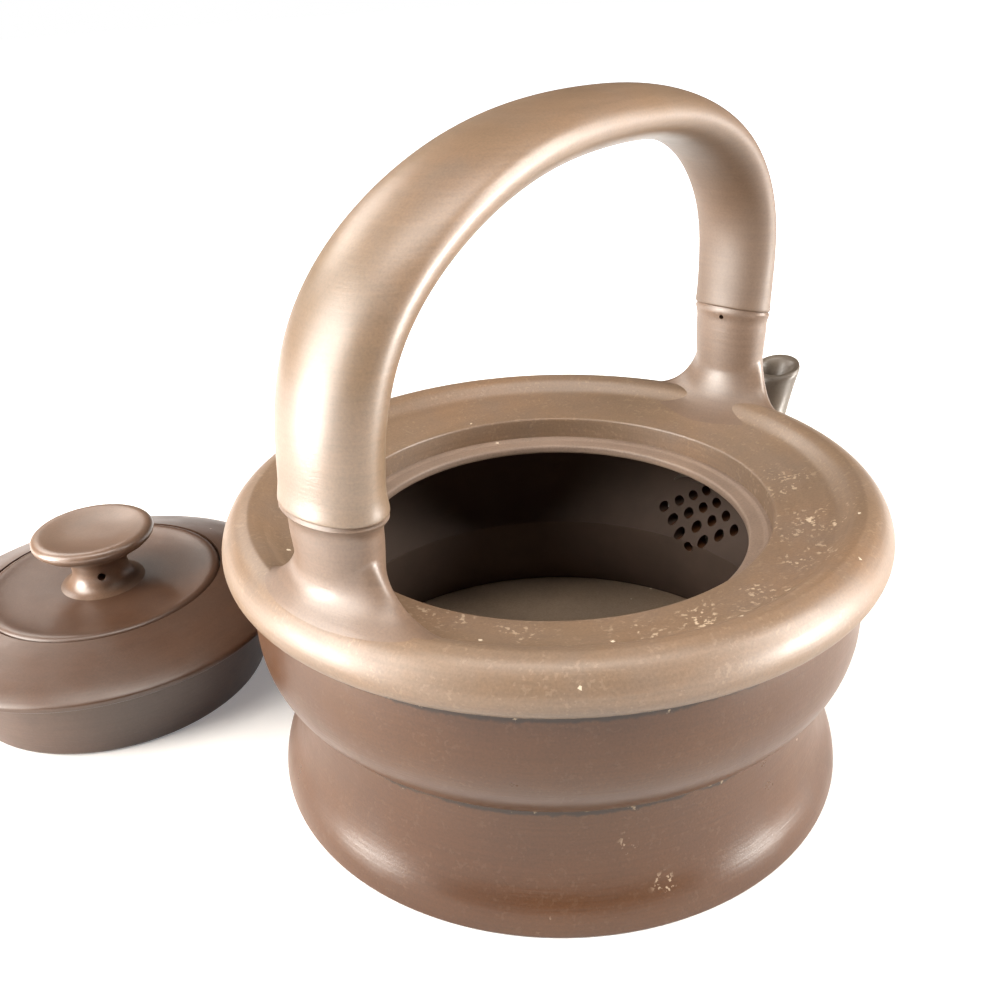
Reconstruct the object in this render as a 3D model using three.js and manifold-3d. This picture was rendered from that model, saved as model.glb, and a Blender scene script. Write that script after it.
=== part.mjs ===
// An unglazed stoneware teapot with a tall arched handle, and its lid standing beside it.
// Millimetres, +Z up. The origin is the centre of the flat base, on the table.
// +X points to the spout, and the handle's arch stands in the plane of X and Z.
import * as THREE from "three";
import { mergeVertices } from "three/addons/utils/BufferGeometryUtils.js";
import Module from "manifold-3d";

const wasm = await Module();
wasm.setup();

// Clay and fits
const WALL = 3.6;
const LUTE_GAP = 0.3;
const LID_PLAY = 0.5;

// The pot's width at its rim. The other radii of the body are counted in from it.
const RIM_RADIUS = 67.8;

// Foot and middle band
const BASE_THICKNESS = 4.5;
const BASE_COVER = 1.6;
const FOOT_HEIGHT = 25;
const FOOT_FLARE = 6;
const WAIST_INSET = 11.8;
const BAND_HEIGHT = 27.8;
const BELLY_INSET = 4.5;
const BELLY_RISE = 12;
const BAND_TOP_INSET = 6.4;

// Shoulder with its rolled rim. Its heights are counted up from the joint with the band.
const SHOULDER_WIDTH = 22.7;
const RIM_UNDERCUT = 3.4;
const RIM_WIDEST_RISE = 2.8;
const ROLL_WIDTH = 6;
const CREST_RISE = 10.1;
const CLIMB_WIDTH = 4.6;
const CREASE_RISE = 7.6;
const MOUTH_EDGE_RISE = 4.9;
const EDGE_ROUND = 0.7;

// The ledge in the mouth that carries the lid
const LEDGE_WIDTH = 4.6;
const LEDGE_THICKNESS = 2.6;
const LEDGE_STEP = 0.5;
const LEDGE_STEP_WIDTH = 2.9;
const LEDGE_LUTED_WIDTH = 4.9;

// Strainer, pierced through the wall behind the spout
const STRAINER_HOLE_RADIUS = 1.3;
const STRAINER_RISE = 5.4;
const STRAINER_ROW_STEP = 2.2;
const STRAINER_COLUMN_STEP = 3.5;
const STRAINER_ROWS = [1, 2, 3, 4, 3, 2, 1];

// Spout, counted out from the waist and up from the mouth's edge
const SPOUT_ROOT_HALF_WIDTH = 15;
const SPOUT_ROOT_HALF_HEIGHT = 12.5;
const SPOUT_NECK_RADIUS = 5.5;
const SPOUT_LIP_RADIUS = 6.3;
const SPOUT_WALL = 2.2;
const SPOUT_OVERHANG = 35;
const SPOUT_LIP_RISE = 3.8;
const SPOUT_LIP_TILT = 15;

// Handle. Its legs are counted in from the rim, and its heights up from the shoulder's crest.
const HANDLE_TOP_X = 14;
const HANDLE_RISE = 69.5;
const REAR_LEG_INSET = 12.3;
const REAR_JOINT_RISE = 16.2;
const SPOUT_LEG_INSET = 1.2;
const SPOUT_JOINT_RISE = 20.5;
const SPOUT_JOINT_TILT = 12;
const TILT_REACH = 14;
const REAR_SWEEP = [[1, 0], [0.985, 0.242], [0.911, 0.518], [0.675, 0.797], [0.335, 0.961]];
const SPOUT_SWEEP = [[1, 0], [1.009, 0.237], [0.987, 0.441], [0.823, 0.735], [0.496, 0.933]];
const HANDLE_HALF_THICKNESS = [6.9, 6.0, 5.5, 4.9, 6.0];
const HANDLE_HALF_WIDTH = [11.2, 12.1, 11.4, 10.4, 9.4];
const HANDLE_WALL = 2.7;
const REAR_NODE_LIP = 0.6;
const SPOUT_NODE_LIP = 0.15;
const NODE_LIP_HEIGHT = 2.4;
const REAR_WAIST_INSET = 0.6;
const SPOUT_WAIST_INSET = 0.3;
const ROOT_FLARE = 4.5;
const REAR_ROOT_SPREAD = { inward: 4, outward: 3.6, sideways: 8 };
const SPOUT_ROOT_SPREAD = { inward: 7, outward: -4.6, sideways: 11 };
const HANDLE_VENT_RADIUS = 0.9;
const HANDLE_VENT_DROP = 0.9;

// Lid. It stands on its flange, this far from the pot's waist, in this direction from +X.
const LID_STANDOFF = 14.3;
const LID_DIRECTION = 118.37;
const FLANGE_HEIGHT = 18.4;
const FLANGE_TAPER = 3.4;
const FLANGE_WALL = 3.4;
const FLANGE_PLAY = 0.2;
const LID_EDGE_THICKNESS = 1.8;
const SKIRT_WIDTH = 16.1;
const SKIRT_THICKNESS = 3.6;
const PLATE_RISE = 7.9;
const PLATE_THICKNESS = 3.9;
const PLATE_DISH = 0.9;
const PLATE_SEAT_WIDTH = 4.2;

// Knob. Its heights are counted up from its seat on the plate.
const KNOB_FOOT_RADIUS = 10;
const KNOB_NECK_RADIUS = 6.7;
const KNOB_NECK_RISE = 4.8;
const KNOB_RADIUS = 14.4;
const KNOB_WIDEST_RISE = 12.7;
const KNOB_CROWN = 1.7;
const KNOB_DISH = 1.0;
const KNOB_BORE_RADIUS = 1.6;
const KNOB_VENT_RADIUS = 1.0;
const KNOB_VENT_RISE = 4.2;
const KNOB_VENT_AZIMUTH = 245;

// How finely curves are cut into flats
const TURN_STEPS = 48;
const LID_TURN_STEPS = 40;
const KNOB_TURN_STEPS = 28;
const TUBE_SIDES = 20;
const BORE_SIDES = 12;

// Radii and heights that follow from the sizes above
const waistRadius = RIM_RADIUS - WAIST_INSET;
const bellyRadius = RIM_RADIUS - BELLY_INSET;
const bandTopRadius = RIM_RADIUS - BAND_TOP_INSET;
const crestRadius = RIM_RADIUS - ROLL_WIDTH;
const creaseRadius = crestRadius - CLIMB_WIDTH;
const mouthRadius = RIM_RADIUS - SHOULDER_WIDTH;
const throatRadius = mouthRadius - LEDGE_WIDTH;
const bellyZ = FOOT_HEIGHT + BELLY_RISE;
const upperJointZ = FOOT_HEIGHT + BAND_HEIGHT;
const rimWidestZ = upperJointZ + RIM_WIDEST_RISE;
const crestZ = upperJointZ + CREST_RISE;
const creaseZ = upperJointZ + CREASE_RISE;
const mouthEdgeZ = upperJointZ + MOUTH_EDGE_RISE;
const strainerZ = FOOT_HEIGHT + STRAINER_RISE;
const spoutReach = waistRadius + SPOUT_OVERHANG;
const spoutLipZ = mouthEdgeZ + SPOUT_LIP_RISE;
const rearLegX = REAR_LEG_INSET - RIM_RADIUS;
const rearJointZ = crestZ + REAR_JOINT_RISE;
const spoutLegX = RIM_RADIUS - SPOUT_LEG_INSET;
const spoutJointZ = crestZ + SPOUT_JOINT_RISE;
const handleTopZ = crestZ + HANDLE_RISE;

// Sizes of the lid that follow from the mouth it fits
const lidRadius = mouthRadius - LID_PLAY;
const flangeRadius = throatRadius - LID_PLAY - FLANGE_PLAY;
const flangeFootRadius = flangeRadius - FLANGE_TAPER;
const rebateRadius = lidRadius - SKIRT_WIDTH;
const plateRadius = rebateRadius - LUTE_GAP;
const plateTopZ = FLANGE_HEIGHT + PLATE_RISE;
const plateUnderZ = plateTopZ - PLATE_THICKNESS;
const knobSeatZ = plateTopZ - PLATE_DISH;
const knobNeckZ = knobSeatZ + KNOB_NECK_RISE;
const knobWidestZ = knobSeatZ + KNOB_WIDEST_RISE;
const knobTopZ = knobWidestZ + KNOB_CROWN;
const knobVentZ = knobSeatZ + KNOB_VENT_RISE;

const degrees = THREE.MathUtils.degToRad;
const mix = THREE.MathUtils.lerp;

// Evenly spaced values from one number to another, both ends included.
function span(from, to, count) {
  return Array.from({ length: count }, (_, i) => mix(from, to, i / (count - 1)));
}

// A closed mesh as a solid, its faces pointing out.
function solidOf(geometry) {
  const bare = geometry.clone();
  bare.deleteAttribute("normal");
  bare.deleteAttribute("uv");
  const merged = mergeVertices(bare);
  const corners = merged.index.array;
  const kept = [];
  for (let i = 0; i < corners.length; i += 3) {
    const [a, b, c] = corners.slice(i, i + 3);
    if (a !== b && b !== c && c !== a) kept.push(a, b, c);
  }
  const build = (faces) => new wasm.Manifold(new wasm.Mesh({
    numProp: 3,
    vertProperties: new Float32Array(merged.attributes.position.array),
    triVerts: new Uint32Array(faces),
  }));
  const solid = build(kept);
  return solid.volume() > 0 ? solid : build(kept.reverse());
}

// A solid as three.js geometry.
function geometryOf(solid) {
  const { vertProperties, triVerts } = solid.getMesh();
  const geometry = new THREE.BufferGeometry();
  geometry.setAttribute("position", new THREE.BufferAttribute(vertProperties, 3));
  geometry.setIndex(new THREE.BufferAttribute(triVerts, 1));
  geometry.computeVertexNormals();
  return geometry;
}

// Turns a closed outline of [radius, height] points about the Z axis.
function turned(outline, steps) {
  const points = [...outline, outline[0]].map(([r, z]) => new THREE.Vector2(r, z));
  return solidOf(new THREE.LatheGeometry(points, steps).rotateX(Math.PI / 2));
}

// Skins a row of rings, each with as many points, and closes both ends.
function lofted(rings) {
  const sides = rings[0].length;
  const index = [];
  for (let ring = 0; ring < rings.length - 1; ring++) {
    for (let side = 0; side < sides; side++) {
      const a = ring * sides + side;
      const b = ring * sides + (side + 1) % sides;
      index.push(a, b, b + sides, a, b + sides, a + sides);
    }
  }
  const last = (rings.length - 1) * sides;
  for (let side = 1; side < sides - 1; side++) {
    index.push(0, side + 1, side, last, last + side, last + side + 1);
  }
  const geometry = new THREE.BufferGeometry();
  const corners = rings.flat().flatMap((point) => point.toArray());
  geometry.setAttribute("position", new THREE.Float32BufferAttribute(corners, 3));
  geometry.setIndex(index);
  return solidOf(geometry);
}

// A round pin between two points, for piercing a hole.
function pin(from, to, radius) {
  const length = from.distanceTo(to);
  const geometry = new THREE.CylinderGeometry(radius, radius, length, 12);
  const along = to.clone().sub(from).normalize();
  geometry.applyQuaternion(new THREE.Quaternion().setFromUnitVectors(new THREE.Vector3(0, 1, 0), along));
  const middle = from.clone().lerp(to, 0.5);
  return solidOf(geometry.translate(middle.x, middle.y, middle.z));
}

// Outer radius of the foot wall: upright at the table, then swept in to the waist.
function footRadius(z) {
  const sweep = (1 - (z / FOOT_HEIGHT) ** 1.5) ** 3;
  return waistRadius + FOOT_FLARE * sweep;
}

// Outer radius of the middle band: a belly that draws in to both joints.
function bandRadius(z) {
  if (z < bellyZ) {
    return mix(bellyRadius, waistRadius, ((bellyZ - z) / (bellyZ - FOOT_HEIGHT)) ** 2.2);
  }
  return mix(bellyRadius, bandTopRadius, ((z - bellyZ) / (upperJointZ - bellyZ)) ** 2.2);
}

// Height of the shoulder's upper face: a shallow dish that climbs to the crest and rolls over it.
function shoulderZ(r) {
  if (r > crestRadius) {
    const across = Math.min(1, (r - crestRadius) / (RIM_RADIUS - crestRadius));
    return mix(rimWidestZ, crestZ, Math.sqrt(1 - across ** 2));
  }
  if (r < creaseRadius) {
    const out = Math.max(0, r - mouthRadius) / (creaseRadius - mouthRadius);
    return mix(mouthEdgeZ, creaseZ, out ** 1.4);
  }
  const climb = (r - creaseRadius) / (crestRadius - creaseRadius);
  return mix(creaseZ, crestZ, Math.sin(climb * Math.PI / 2));
}

// The shoulder's outline from under the rolled rim, over the crest, to the mouth's edge.
function shoulderOutline() {
  const under = span(0, 90, 3).map((angle) => [
    RIM_RADIUS - RIM_UNDERCUT * (1 - Math.sin(degrees(angle))),
    mix(rimWidestZ, upperJointZ, Math.cos(degrees(angle))),
  ]);
  const roll = span(0, 90, 7).slice(1).map((angle) => [
    mix(crestRadius, RIM_RADIUS, Math.cos(degrees(angle))),
    mix(rimWidestZ, crestZ, Math.sin(degrees(angle))),
  ]);
  const climb = span(crestRadius, creaseRadius, 4).slice(1).map((r) => [r, shoulderZ(r)]);
  const dish = span(creaseRadius, mouthRadius + EDGE_ROUND, 4).slice(1).map((r) => [r, shoulderZ(r)]);
  return [...under, ...roll, ...climb, ...dish];
}

// The base slab. Its rim carries the foot wall.
function basePlate() {
  const radius = footRadius(0) - BASE_COVER;
  const outline = [[0, 0], [radius - LUTE_GAP, 0], [radius - LUTE_GAP, BASE_THICKNESS], [0, BASE_THICKNESS]];
  return turned(outline, TURN_STEPS);
}

// The foot wall stands on the slab's rim, and its skin covers the slab's edge.
function footWall() {
  const outer = [0, 0.07, 0.16, 0.27, 0.4, 0.55, 0.75, 1].map((share) => {
    const z = share * FOOT_HEIGHT;
    return [footRadius(z), z];
  });
  const inner = span(FOOT_HEIGHT, BASE_THICKNESS, 6).map((z) => [footRadius(z) - WALL, z]);
  const cover = footRadius(0) - BASE_COVER;
  return turned([...outer, ...inner, [cover, BASE_THICKNESS], [cover, 0]], TURN_STEPS);
}

function middleBand() {
  const heights = [0, 0.1, 0.22, 0.36, 0.52, 0.7, 0.86, 1].map((share) => mix(FOOT_HEIGHT, upperJointZ, share));
  const outer = heights.map((z) => [bandRadius(z), z]);
  const inner = heights.map((z) => [bandRadius(z) - WALL, z]).reverse();
  return turned([...outer, ...inner], TURN_STEPS);
}

// Where the strainer's holes lie, as [sideways, height] on the wall behind the spout.
function strainerHoles() {
  const middle = (STRAINER_ROWS.length - 1) / 2;
  return STRAINER_ROWS.flatMap((count, row) => {
    const z = strainerZ + (row - middle) * STRAINER_ROW_STEP;
    return Array.from({ length: count }, (_, i) => [(2 * i - count + 1) * STRAINER_COLUMN_STEP, z]);
  });
}

function pierced(wall) {
  const inside = waistRadius - 3 * WALL;
  const outside = bellyRadius + WALL;
  return strainerHoles().reduce((solid, [y, z]) => {
    const hole = pin(new THREE.Vector3(inside, y, z), new THREE.Vector3(outside, y, z), STRAINER_HOLE_RADIUS);
    return solid.subtract(hole);
  }, wall);
}

// The shoulder: flat below where it is luted to the band and the ledge, hollowed between them.
function shoulderRing() {
  const mouth = [
    [mouthRadius + EDGE_ROUND * 0.3, mouthEdgeZ - EDGE_ROUND * 0.3],
    [mouthRadius, mouthEdgeZ - EDGE_ROUND],
    [mouthRadius, upperJointZ],
  ];
  const ledgeEnd = mouthRadius + LEDGE_LUTED_WIDTH;
  const bandInside = bandTopRadius - WALL;
  const hollow = [0.06, 0.3, 0.7, 0.94].map((share) => {
    const r = mix(ledgeEnd, bandInside, share);
    const clear = shoulderZ(r) - WALL * 1.2;
    return [r, share > 0.1 && share < 0.9 ? clear : upperJointZ];
  });
  return turned([...shoulderOutline(), ...mouth, ...hollow], TURN_STEPS);
}

// The ledge ring, luted under the shoulder's edge. It is stepped a little towards the throat.
function mouthLedge() {
  const outer = mouthRadius + LEDGE_LUTED_WIDTH;
  const step = throatRadius + LEDGE_STEP_WIDTH;
  const low = upperJointZ - LEDGE_STEP;
  const bottom = upperJointZ - LEDGE_THICKNESS;
  return turned([
    [outer, upperJointZ],
    [step + LEDGE_STEP, upperJointZ],
    [step, low],
    [throatRadius + EDGE_ROUND, low],
    [throatRadius, low - EDGE_ROUND],
    [throatRadius, bottom + EDGE_ROUND],
    [throatRadius + EDGE_ROUND, bottom],
    [outer - WALL / 2, bottom],
    [outer, bottom + WALL / 2],
  ], TURN_STEPS);
}

// All that lies inside the body's outer skin, grown by the luting gap, to cut the spout to the wall.
function bodyCutter() {
  const foot = span(0, FOOT_HEIGHT, 7).map((z) => [footRadius(z) + LUTE_GAP, z]);
  const band = span(FOOT_HEIGHT, upperJointZ, 9).slice(1).map((z) => [bandRadius(z) + LUTE_GAP, z]);
  return turned([[0, 0], ...foot, ...band, [0, upperJointZ]], 2 * TURN_STEPS);
}

// One oval ring of the spout. Its plane leans back as the spout turns up.
function spoutRing(share, line, inset, sides) {
  const at = line.getPoint(share);
  const lean = degrees(mix(90, 180 + SPOUT_LIP_TILT, Math.min(1, share * 1.25)));
  const narrow = Math.min(1, share / 0.72) ** 0.8;
  const lip = Math.max(0, (share - 0.86) / 0.14) ** 1.6 * (SPOUT_LIP_RADIUS - SPOUT_NECK_RADIUS);
  const halfWidth = mix(SPOUT_ROOT_HALF_WIDTH, SPOUT_NECK_RADIUS, narrow) + lip - inset;
  const halfHeight = mix(SPOUT_ROOT_HALF_HEIGHT, SPOUT_NECK_RADIUS, narrow) + lip - inset;
  return Array.from({ length: sides }, (_, i) => {
    const turn = 2 * Math.PI * i / sides;
    const outwards = Math.cos(turn) * halfHeight;
    return new THREE.Vector3(
      at.x + outwards * Math.cos(lean),
      Math.sin(turn) * halfWidth,
      at.z + outwards * Math.sin(lean),
    );
  });
}

// The spout rises from the wall in one bend, narrows to its neck and opens a little at the lip.
function spout() {
  const line = new THREE.CatmullRomCurve3([
    new THREE.Vector3(waistRadius - WALL, 0, strainerZ - 1),
    new THREE.Vector3(waistRadius + 11, 0, strainerZ + 3),
    new THREE.Vector3(mix(waistRadius, spoutReach, 0.66), 0, mix(strainerZ, spoutLipZ, 0.36)),
    new THREE.Vector3(spoutReach - 4, 0, mix(strainerZ, spoutLipZ, 0.7)),
    new THREE.Vector3(spoutReach, 0, spoutLipZ),
  ]);
  const shares = [0, 0.12, 0.24, 0.36, 0.48, 0.6, 0.7, 0.8, 0.87, 0.93, 1];
  const skin = lofted(shares.map((share) => spoutRing(share, line, 0, TUBE_SIDES)));
  const boreRings = shares.map((share) => spoutRing(share, line, SPOUT_WALL, BORE_SIDES));
  const lead = new THREE.Vector3(-Math.sin(degrees(SPOUT_LIP_TILT)), 0, Math.cos(degrees(SPOUT_LIP_TILT)));
  boreRings.push(boreRings.at(-1).map((point) => point.clone().addScaledVector(lead, SPOUT_WALL)));
  return skin.subtract(bodyCutter()).subtract(lofted(boreRings));
}

// The handle's middle line, from the rear joint over the top to the joint by the spout.
// Each sweep gives shares of the way out from the top to the leg, and up from the joint to the top.
function handleLine() {
  const side = (sweep, legX, jointZ) => sweep.map(([out, up]) => new THREE.Vector3(
    mix(HANDLE_TOP_X, legX, out),
    0,
    mix(jointZ, handleTopZ, up),
  ));
  return new THREE.CatmullRomCurve3([
    ...side(REAR_SWEEP, rearLegX, rearJointZ),
    new THREE.Vector3(HANDLE_TOP_X, 0, handleTopZ),
    ...side(SPOUT_SWEEP, spoutLegX, spoutJointZ).reverse(),
  ]);
}

// A value along the handle, read from a short list of sizes by a smooth curve.
function along(sizes, share) {
  const points = sizes.map((size, i) => new THREE.Vector2(i / (sizes.length - 1), size));
  return new THREE.SplineCurve(points).getPoint(share).y;
}

// An oval ring about a point, square to the handle's line there.
function handleRing(at, tangent, halfThickness, halfWidth, sides) {
  const outwards = new THREE.Vector3(-tangent.z, 0, tangent.x);
  return Array.from({ length: sides }, (_, i) => {
    const turn = 2 * Math.PI * i / sides;
    const point = at.clone().addScaledVector(outwards, Math.cos(turn) * halfThickness);
    point.y += Math.sin(turn) * halfWidth;
    return point;
  });
}

// Tilts a level ring about its middle, with its far side down.
function tilted(ring, at, degreesDown) {
  ring.forEach((point) => {
    point.z -= Math.tan(degrees(degreesDown)) * (point.x - at.x);
  });
  return ring;
}

// The rings of the arch. At both ends they lie in the plane of the joint with the root.
function archRings(inset, overshoot, sides, stations) {
  const line = handleLine();
  const length = line.getLength();
  return stations.map((share) => {
    const at = line.getPointAt(share);
    const tangent = line.getTangentAt(share);
    if (share === 0) tangent.set(0, 0, 1);
    if (share === 1) tangent.set(0, 0, -1);
    if (share === 0 || share === 1) at.z -= overshoot;
    const fromEnd = Math.min(share, 1 - share) * length;
    const nodeLip = share < 0.5 ? REAR_NODE_LIP : SPOUT_NODE_LIP;
    const lip = nodeLip * Math.max(0, 1 - fromEnd / NODE_LIP_HEIGHT) - inset;
    const halfThickness = along(HANDLE_HALF_THICKNESS, share) + lip;
    const halfWidth = along(HANDLE_HALF_WIDTH, share) + lip;
    const tilt = SPOUT_JOINT_TILT * Math.max(0, 1 - (1 - share) * length / TILT_REACH);
    return tilted(handleRing(at, tangent, halfThickness, halfWidth, sides), at, tilt);
  });
}

function handleArch() {
  const lipShare = NODE_LIP_HEIGHT / handleLine().getLength();
  const even = span(0, 1, 27).slice(1, -1);
  const skin = lofted(archRings(0, 0, TUBE_SIDES, [0, lipShare, ...even, 1 - lipShare, 1]));
  const bore = lofted(archRings(HANDLE_WALL, HANDLE_WALL, BORE_SIDES, span(0, 1, 21)));
  return skin.subtract(bore);
}

// What the handle's roots may not enter: the shoulder, grown by the luting gap.
function shoulderCutter() {
  const grown = shoulderOutline().map(([r, z]) => [r > crestRadius ? r + LUTE_GAP : r, z + LUTE_GAP]);
  const floor = upperJointZ - WALL;
  const edge = shoulderZ(mouthRadius) + LUTE_GAP;
  return turned([[RIM_RADIUS - RIM_UNDERCUT, floor], ...grown, [0, edge], [0, floor]], 2 * TURN_STEPS);
}

// A hollow root: a short stalk below the node that spreads out until it meets the shoulder.
// The sizes are those of the leg that it carries: where it stands, its joint and its section there.
function handleRoot({ legX, jointZ, tilt, halfThickness, halfWidth, nodeLip, waistInset, spread }) {
  const footZ = mouthEdgeZ - 2;
  const down = new THREE.Vector3(0, 0, -1);
  const away = Math.sign(legX);
  const reach = Math.abs(legX);
  const stalk = halfThickness - waistInset;
  const meets = {
    inward: shoulderZ(reach - stalk - spread.inward),
    outward: shoulderZ(reach + stalk + spread.outward),
    sideways: shoulderZ(reach) - 0.5,
  };
  const rings = [0, 0.06, 0.15, 0.3, 0.45, 0.57, 0.66, 0.74, 0.82, 0.9, 1].map((share) => {
    const z = mix(jointZ, footZ, share);
    const inset = mix(-nodeLip, waistInset, THREE.MathUtils.smoothstep(share, 0.05, 0.2));
    const flare = (way) => spread[way] * Math.min(1, (jointZ - z) / (jointZ - meets[way])) ** ROOT_FLARE;
    const inner = halfThickness - inset + flare("inward");
    const outer = halfThickness - inset + flare("outward");
    const at = new THREE.Vector3(legX + away * (outer - inner) / 2, 0, z);
    const ring = handleRing(at, down, (inner + outer) / 2, halfWidth - inset + flare("sideways"), TUBE_SIDES);
    return tilted(wrapped(ring, reach, share), at, tilt * Math.max(0, 1 - share * 2));
  });
  const bore = [jointZ + HANDLE_WALL, footZ - HANDLE_WALL].map((z) => {
    const inset = HANDLE_WALL + waistInset;
    return handleRing(new THREE.Vector3(legX, 0, z), down, halfThickness - inset, halfWidth - inset, BORE_SIDES);
  });
  return lofted(rings).subtract(shoulderCutter()).subtract(lofted(bore));
}

// Wraps a ring's sides round the pot's axis, more and more towards the shoulder.
function wrapped(ring, reach, share) {
  ring.forEach((point) => {
    const turn = point.y / reach;
    const out = Math.abs(point.x);
    point.x *= mix(1, Math.cos(turn), share);
    point.y = mix(point.y, out * Math.sin(turn), share);
  });
  return ring;
}

function rearHandleRoot() {
  return handleRoot({
    legX: rearLegX,
    jointZ: rearJointZ,
    tilt: 0,
    halfThickness: HANDLE_HALF_THICKNESS.at(0),
    halfWidth: HANDLE_HALF_WIDTH.at(0),
    nodeLip: REAR_NODE_LIP,
    waistInset: REAR_WAIST_INSET,
    spread: REAR_ROOT_SPREAD,
  });
}

// The root by the spout has a pin hole that lets the hollow handle breathe in the kiln.
function spoutHandleRoot() {
  const halfThickness = HANDLE_HALF_THICKNESS.at(-1);
  const root = handleRoot({
    legX: spoutLegX,
    jointZ: spoutJointZ,
    tilt: SPOUT_JOINT_TILT,
    halfThickness,
    halfWidth: HANDLE_HALF_WIDTH.at(-1),
    nodeLip: SPOUT_NODE_LIP,
    waistInset: SPOUT_WAIST_INSET,
    spread: SPOUT_ROOT_SPREAD,
  });
  const ventZ = spoutJointZ - HANDLE_VENT_DROP;
  const outside = new THREE.Vector3(spoutLegX - 2 * halfThickness, 0, ventZ);
  return root.subtract(pin(outside, new THREE.Vector3(spoutLegX, 0, ventZ), HANDLE_VENT_RADIUS));
}

// Height of the skirt's upper face: a hollow flare from the lid's edge up to the plate.
function skirtZ(r) {
  const climb = (lidRadius - r) / (lidRadius - rebateRadius);
  return mix(FLANGE_HEIGHT + LID_EDGE_THICKNESS, plateTopZ - 0.5, climb ** 1.15);
}

// The flange hangs in the throat when the lid is on. Beside the pot, the lid stands on it.
function lidFlange() {
  const foot = flangeFootRadius;
  return turned([
    [foot - FLANGE_WALL + EDGE_ROUND, 0],
    [foot - EDGE_ROUND, 0],
    [foot, EDGE_ROUND],
    [mix(foot, flangeRadius, 0.6), FLANGE_HEIGHT * 0.5],
    [flangeRadius, FLANGE_HEIGHT],
    [flangeRadius - FLANGE_WALL, FLANGE_HEIGHT],
    [mix(foot, flangeRadius, 0.6) - FLANGE_WALL, FLANGE_HEIGHT * 0.5],
    [foot - FLANGE_WALL, EDGE_ROUND],
  ], LID_TURN_STEPS);
}

// The flared skirt, with a rebate inside that carries the plate.
function lidSkirt() {
  const seatInside = plateRadius - PLATE_SEAT_WIDTH;
  const edge = [
    [lidRadius - EDGE_ROUND / 2, FLANGE_HEIGHT],
    [lidRadius, FLANGE_HEIGHT + EDGE_ROUND],
    [lidRadius, FLANGE_HEIGHT + LID_EDGE_THICKNESS - EDGE_ROUND / 2],
  ];
  const flare = span(lidRadius - EDGE_ROUND / 2, rebateRadius, 9).map((r) => [r, skirtZ(r)]);
  return turned([
    ...edge,
    ...flare,
    [rebateRadius, plateUnderZ],
    [seatInside, plateUnderZ],
    [seatInside, plateUnderZ - SKIRT_THICKNESS + 1],
    [flangeRadius - FLANGE_WALL - 2, FLANGE_HEIGHT],
  ], LID_TURN_STEPS);
}

// The plate: a disc with a soft raised rim, dished inside it, bored for the knob's vent.
function lidPlate() {
  const land = KNOB_FOOT_RADIUS + 2;
  return turned([
    [KNOB_BORE_RADIUS, plateUnderZ],
    [plateRadius, plateUnderZ],
    [plateRadius, plateTopZ - 0.9],
    [plateRadius - 0.5, plateTopZ - 0.2],
    [plateRadius - 1.6, plateTopZ],
    [plateRadius - 3.4, plateTopZ - 0.25 * PLATE_DISH],
    [mix(land, plateRadius, 0.5), plateTopZ - 0.8 * PLATE_DISH],
    [land, knobSeatZ],
    [KNOB_BORE_RADIUS, knobSeatZ],
  ], LID_TURN_STEPS);
}

// The knob: a waisted neck under a dished button, with a vent hole through the neck's side.
function knob() {
  const neck = span(0, 180, 8).map((angle) => {
    const waist = Math.sin(degrees(angle)) ** 0.9;
    const below = angle < 90;
    const endRadius = below ? KNOB_FOOT_RADIUS : KNOB_RADIUS - 1.4;
    const endZ = below ? knobSeatZ : knobWidestZ - 1.5;
    const rise = 1 - Math.abs(Math.cos(degrees(angle)));
    return [mix(endRadius, KNOB_NECK_RADIUS, waist), mix(endZ, knobNeckZ, rise)];
  });
  const button = span(-50, 90, 6).map((angle) => [
    KNOB_RADIUS - 1.5 + 1.5 * Math.cos(degrees(angle)),
    knobWidestZ + (angle < 0 ? 1.6 : knobTopZ - knobWidestZ) * Math.sin(degrees(angle)),
  ]);
  const dish = span(0.8, 0, 5).map((share) => [
    share * (KNOB_RADIUS - 1.5),
    knobTopZ - KNOB_DISH * (1 - share ** 2) ** 2,
  ]);
  const bore = [[0, knobNeckZ + 2], [KNOB_BORE_RADIUS, knobNeckZ + 1], [KNOB_BORE_RADIUS, knobSeatZ]];
  const vent = new THREE.Vector3(KNOB_FOOT_RADIUS + 2, 0, knobVentZ);
  vent.applyAxisAngle(new THREE.Vector3(0, 0, 1), degrees(KNOB_VENT_AZIMUTH));
  const body = turned([...neck, ...button, ...dish, ...bore], KNOB_TURN_STEPS);
  return body.subtract(pin(vent, new THREE.Vector3(0, 0, knobVentZ), KNOB_VENT_RADIUS));
}

// One named piece of fired clay.
function piece(name, solid, color, roughness) {
  const material = new THREE.MeshStandardMaterial({ color, roughness, metalness: 0 });
  const mesh = new THREE.Mesh(geometryOf(solid), material);
  mesh.name = name;
  return mesh;
}

const pot = new THREE.Group();
pot.add(
  piece("base_plate", basePlate(), "#7d6353", 0.7),
  piece("foot_wall", pierced(footWall()), "#8b6a55", 0.55),
  piece("middle_band", pierced(middleBand()), "#8f6f5a", 0.55),
  piece("shoulder_ring", shoulderRing(), "#a5876c", 0.58),
  piece("mouth_ledge", mouthLedge(), "#a08264", 0.62),
  piece("spout", spout(), "#9b8069", 0.55),
  piece("rear_handle_root", rearHandleRoot(), "#a08068", 0.5),
  piece("spout_handle_root", spoutHandleRoot(), "#9c7d66", 0.52),
  piece("handle_arch", handleArch(), "#a38269", 0.48),
);

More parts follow.
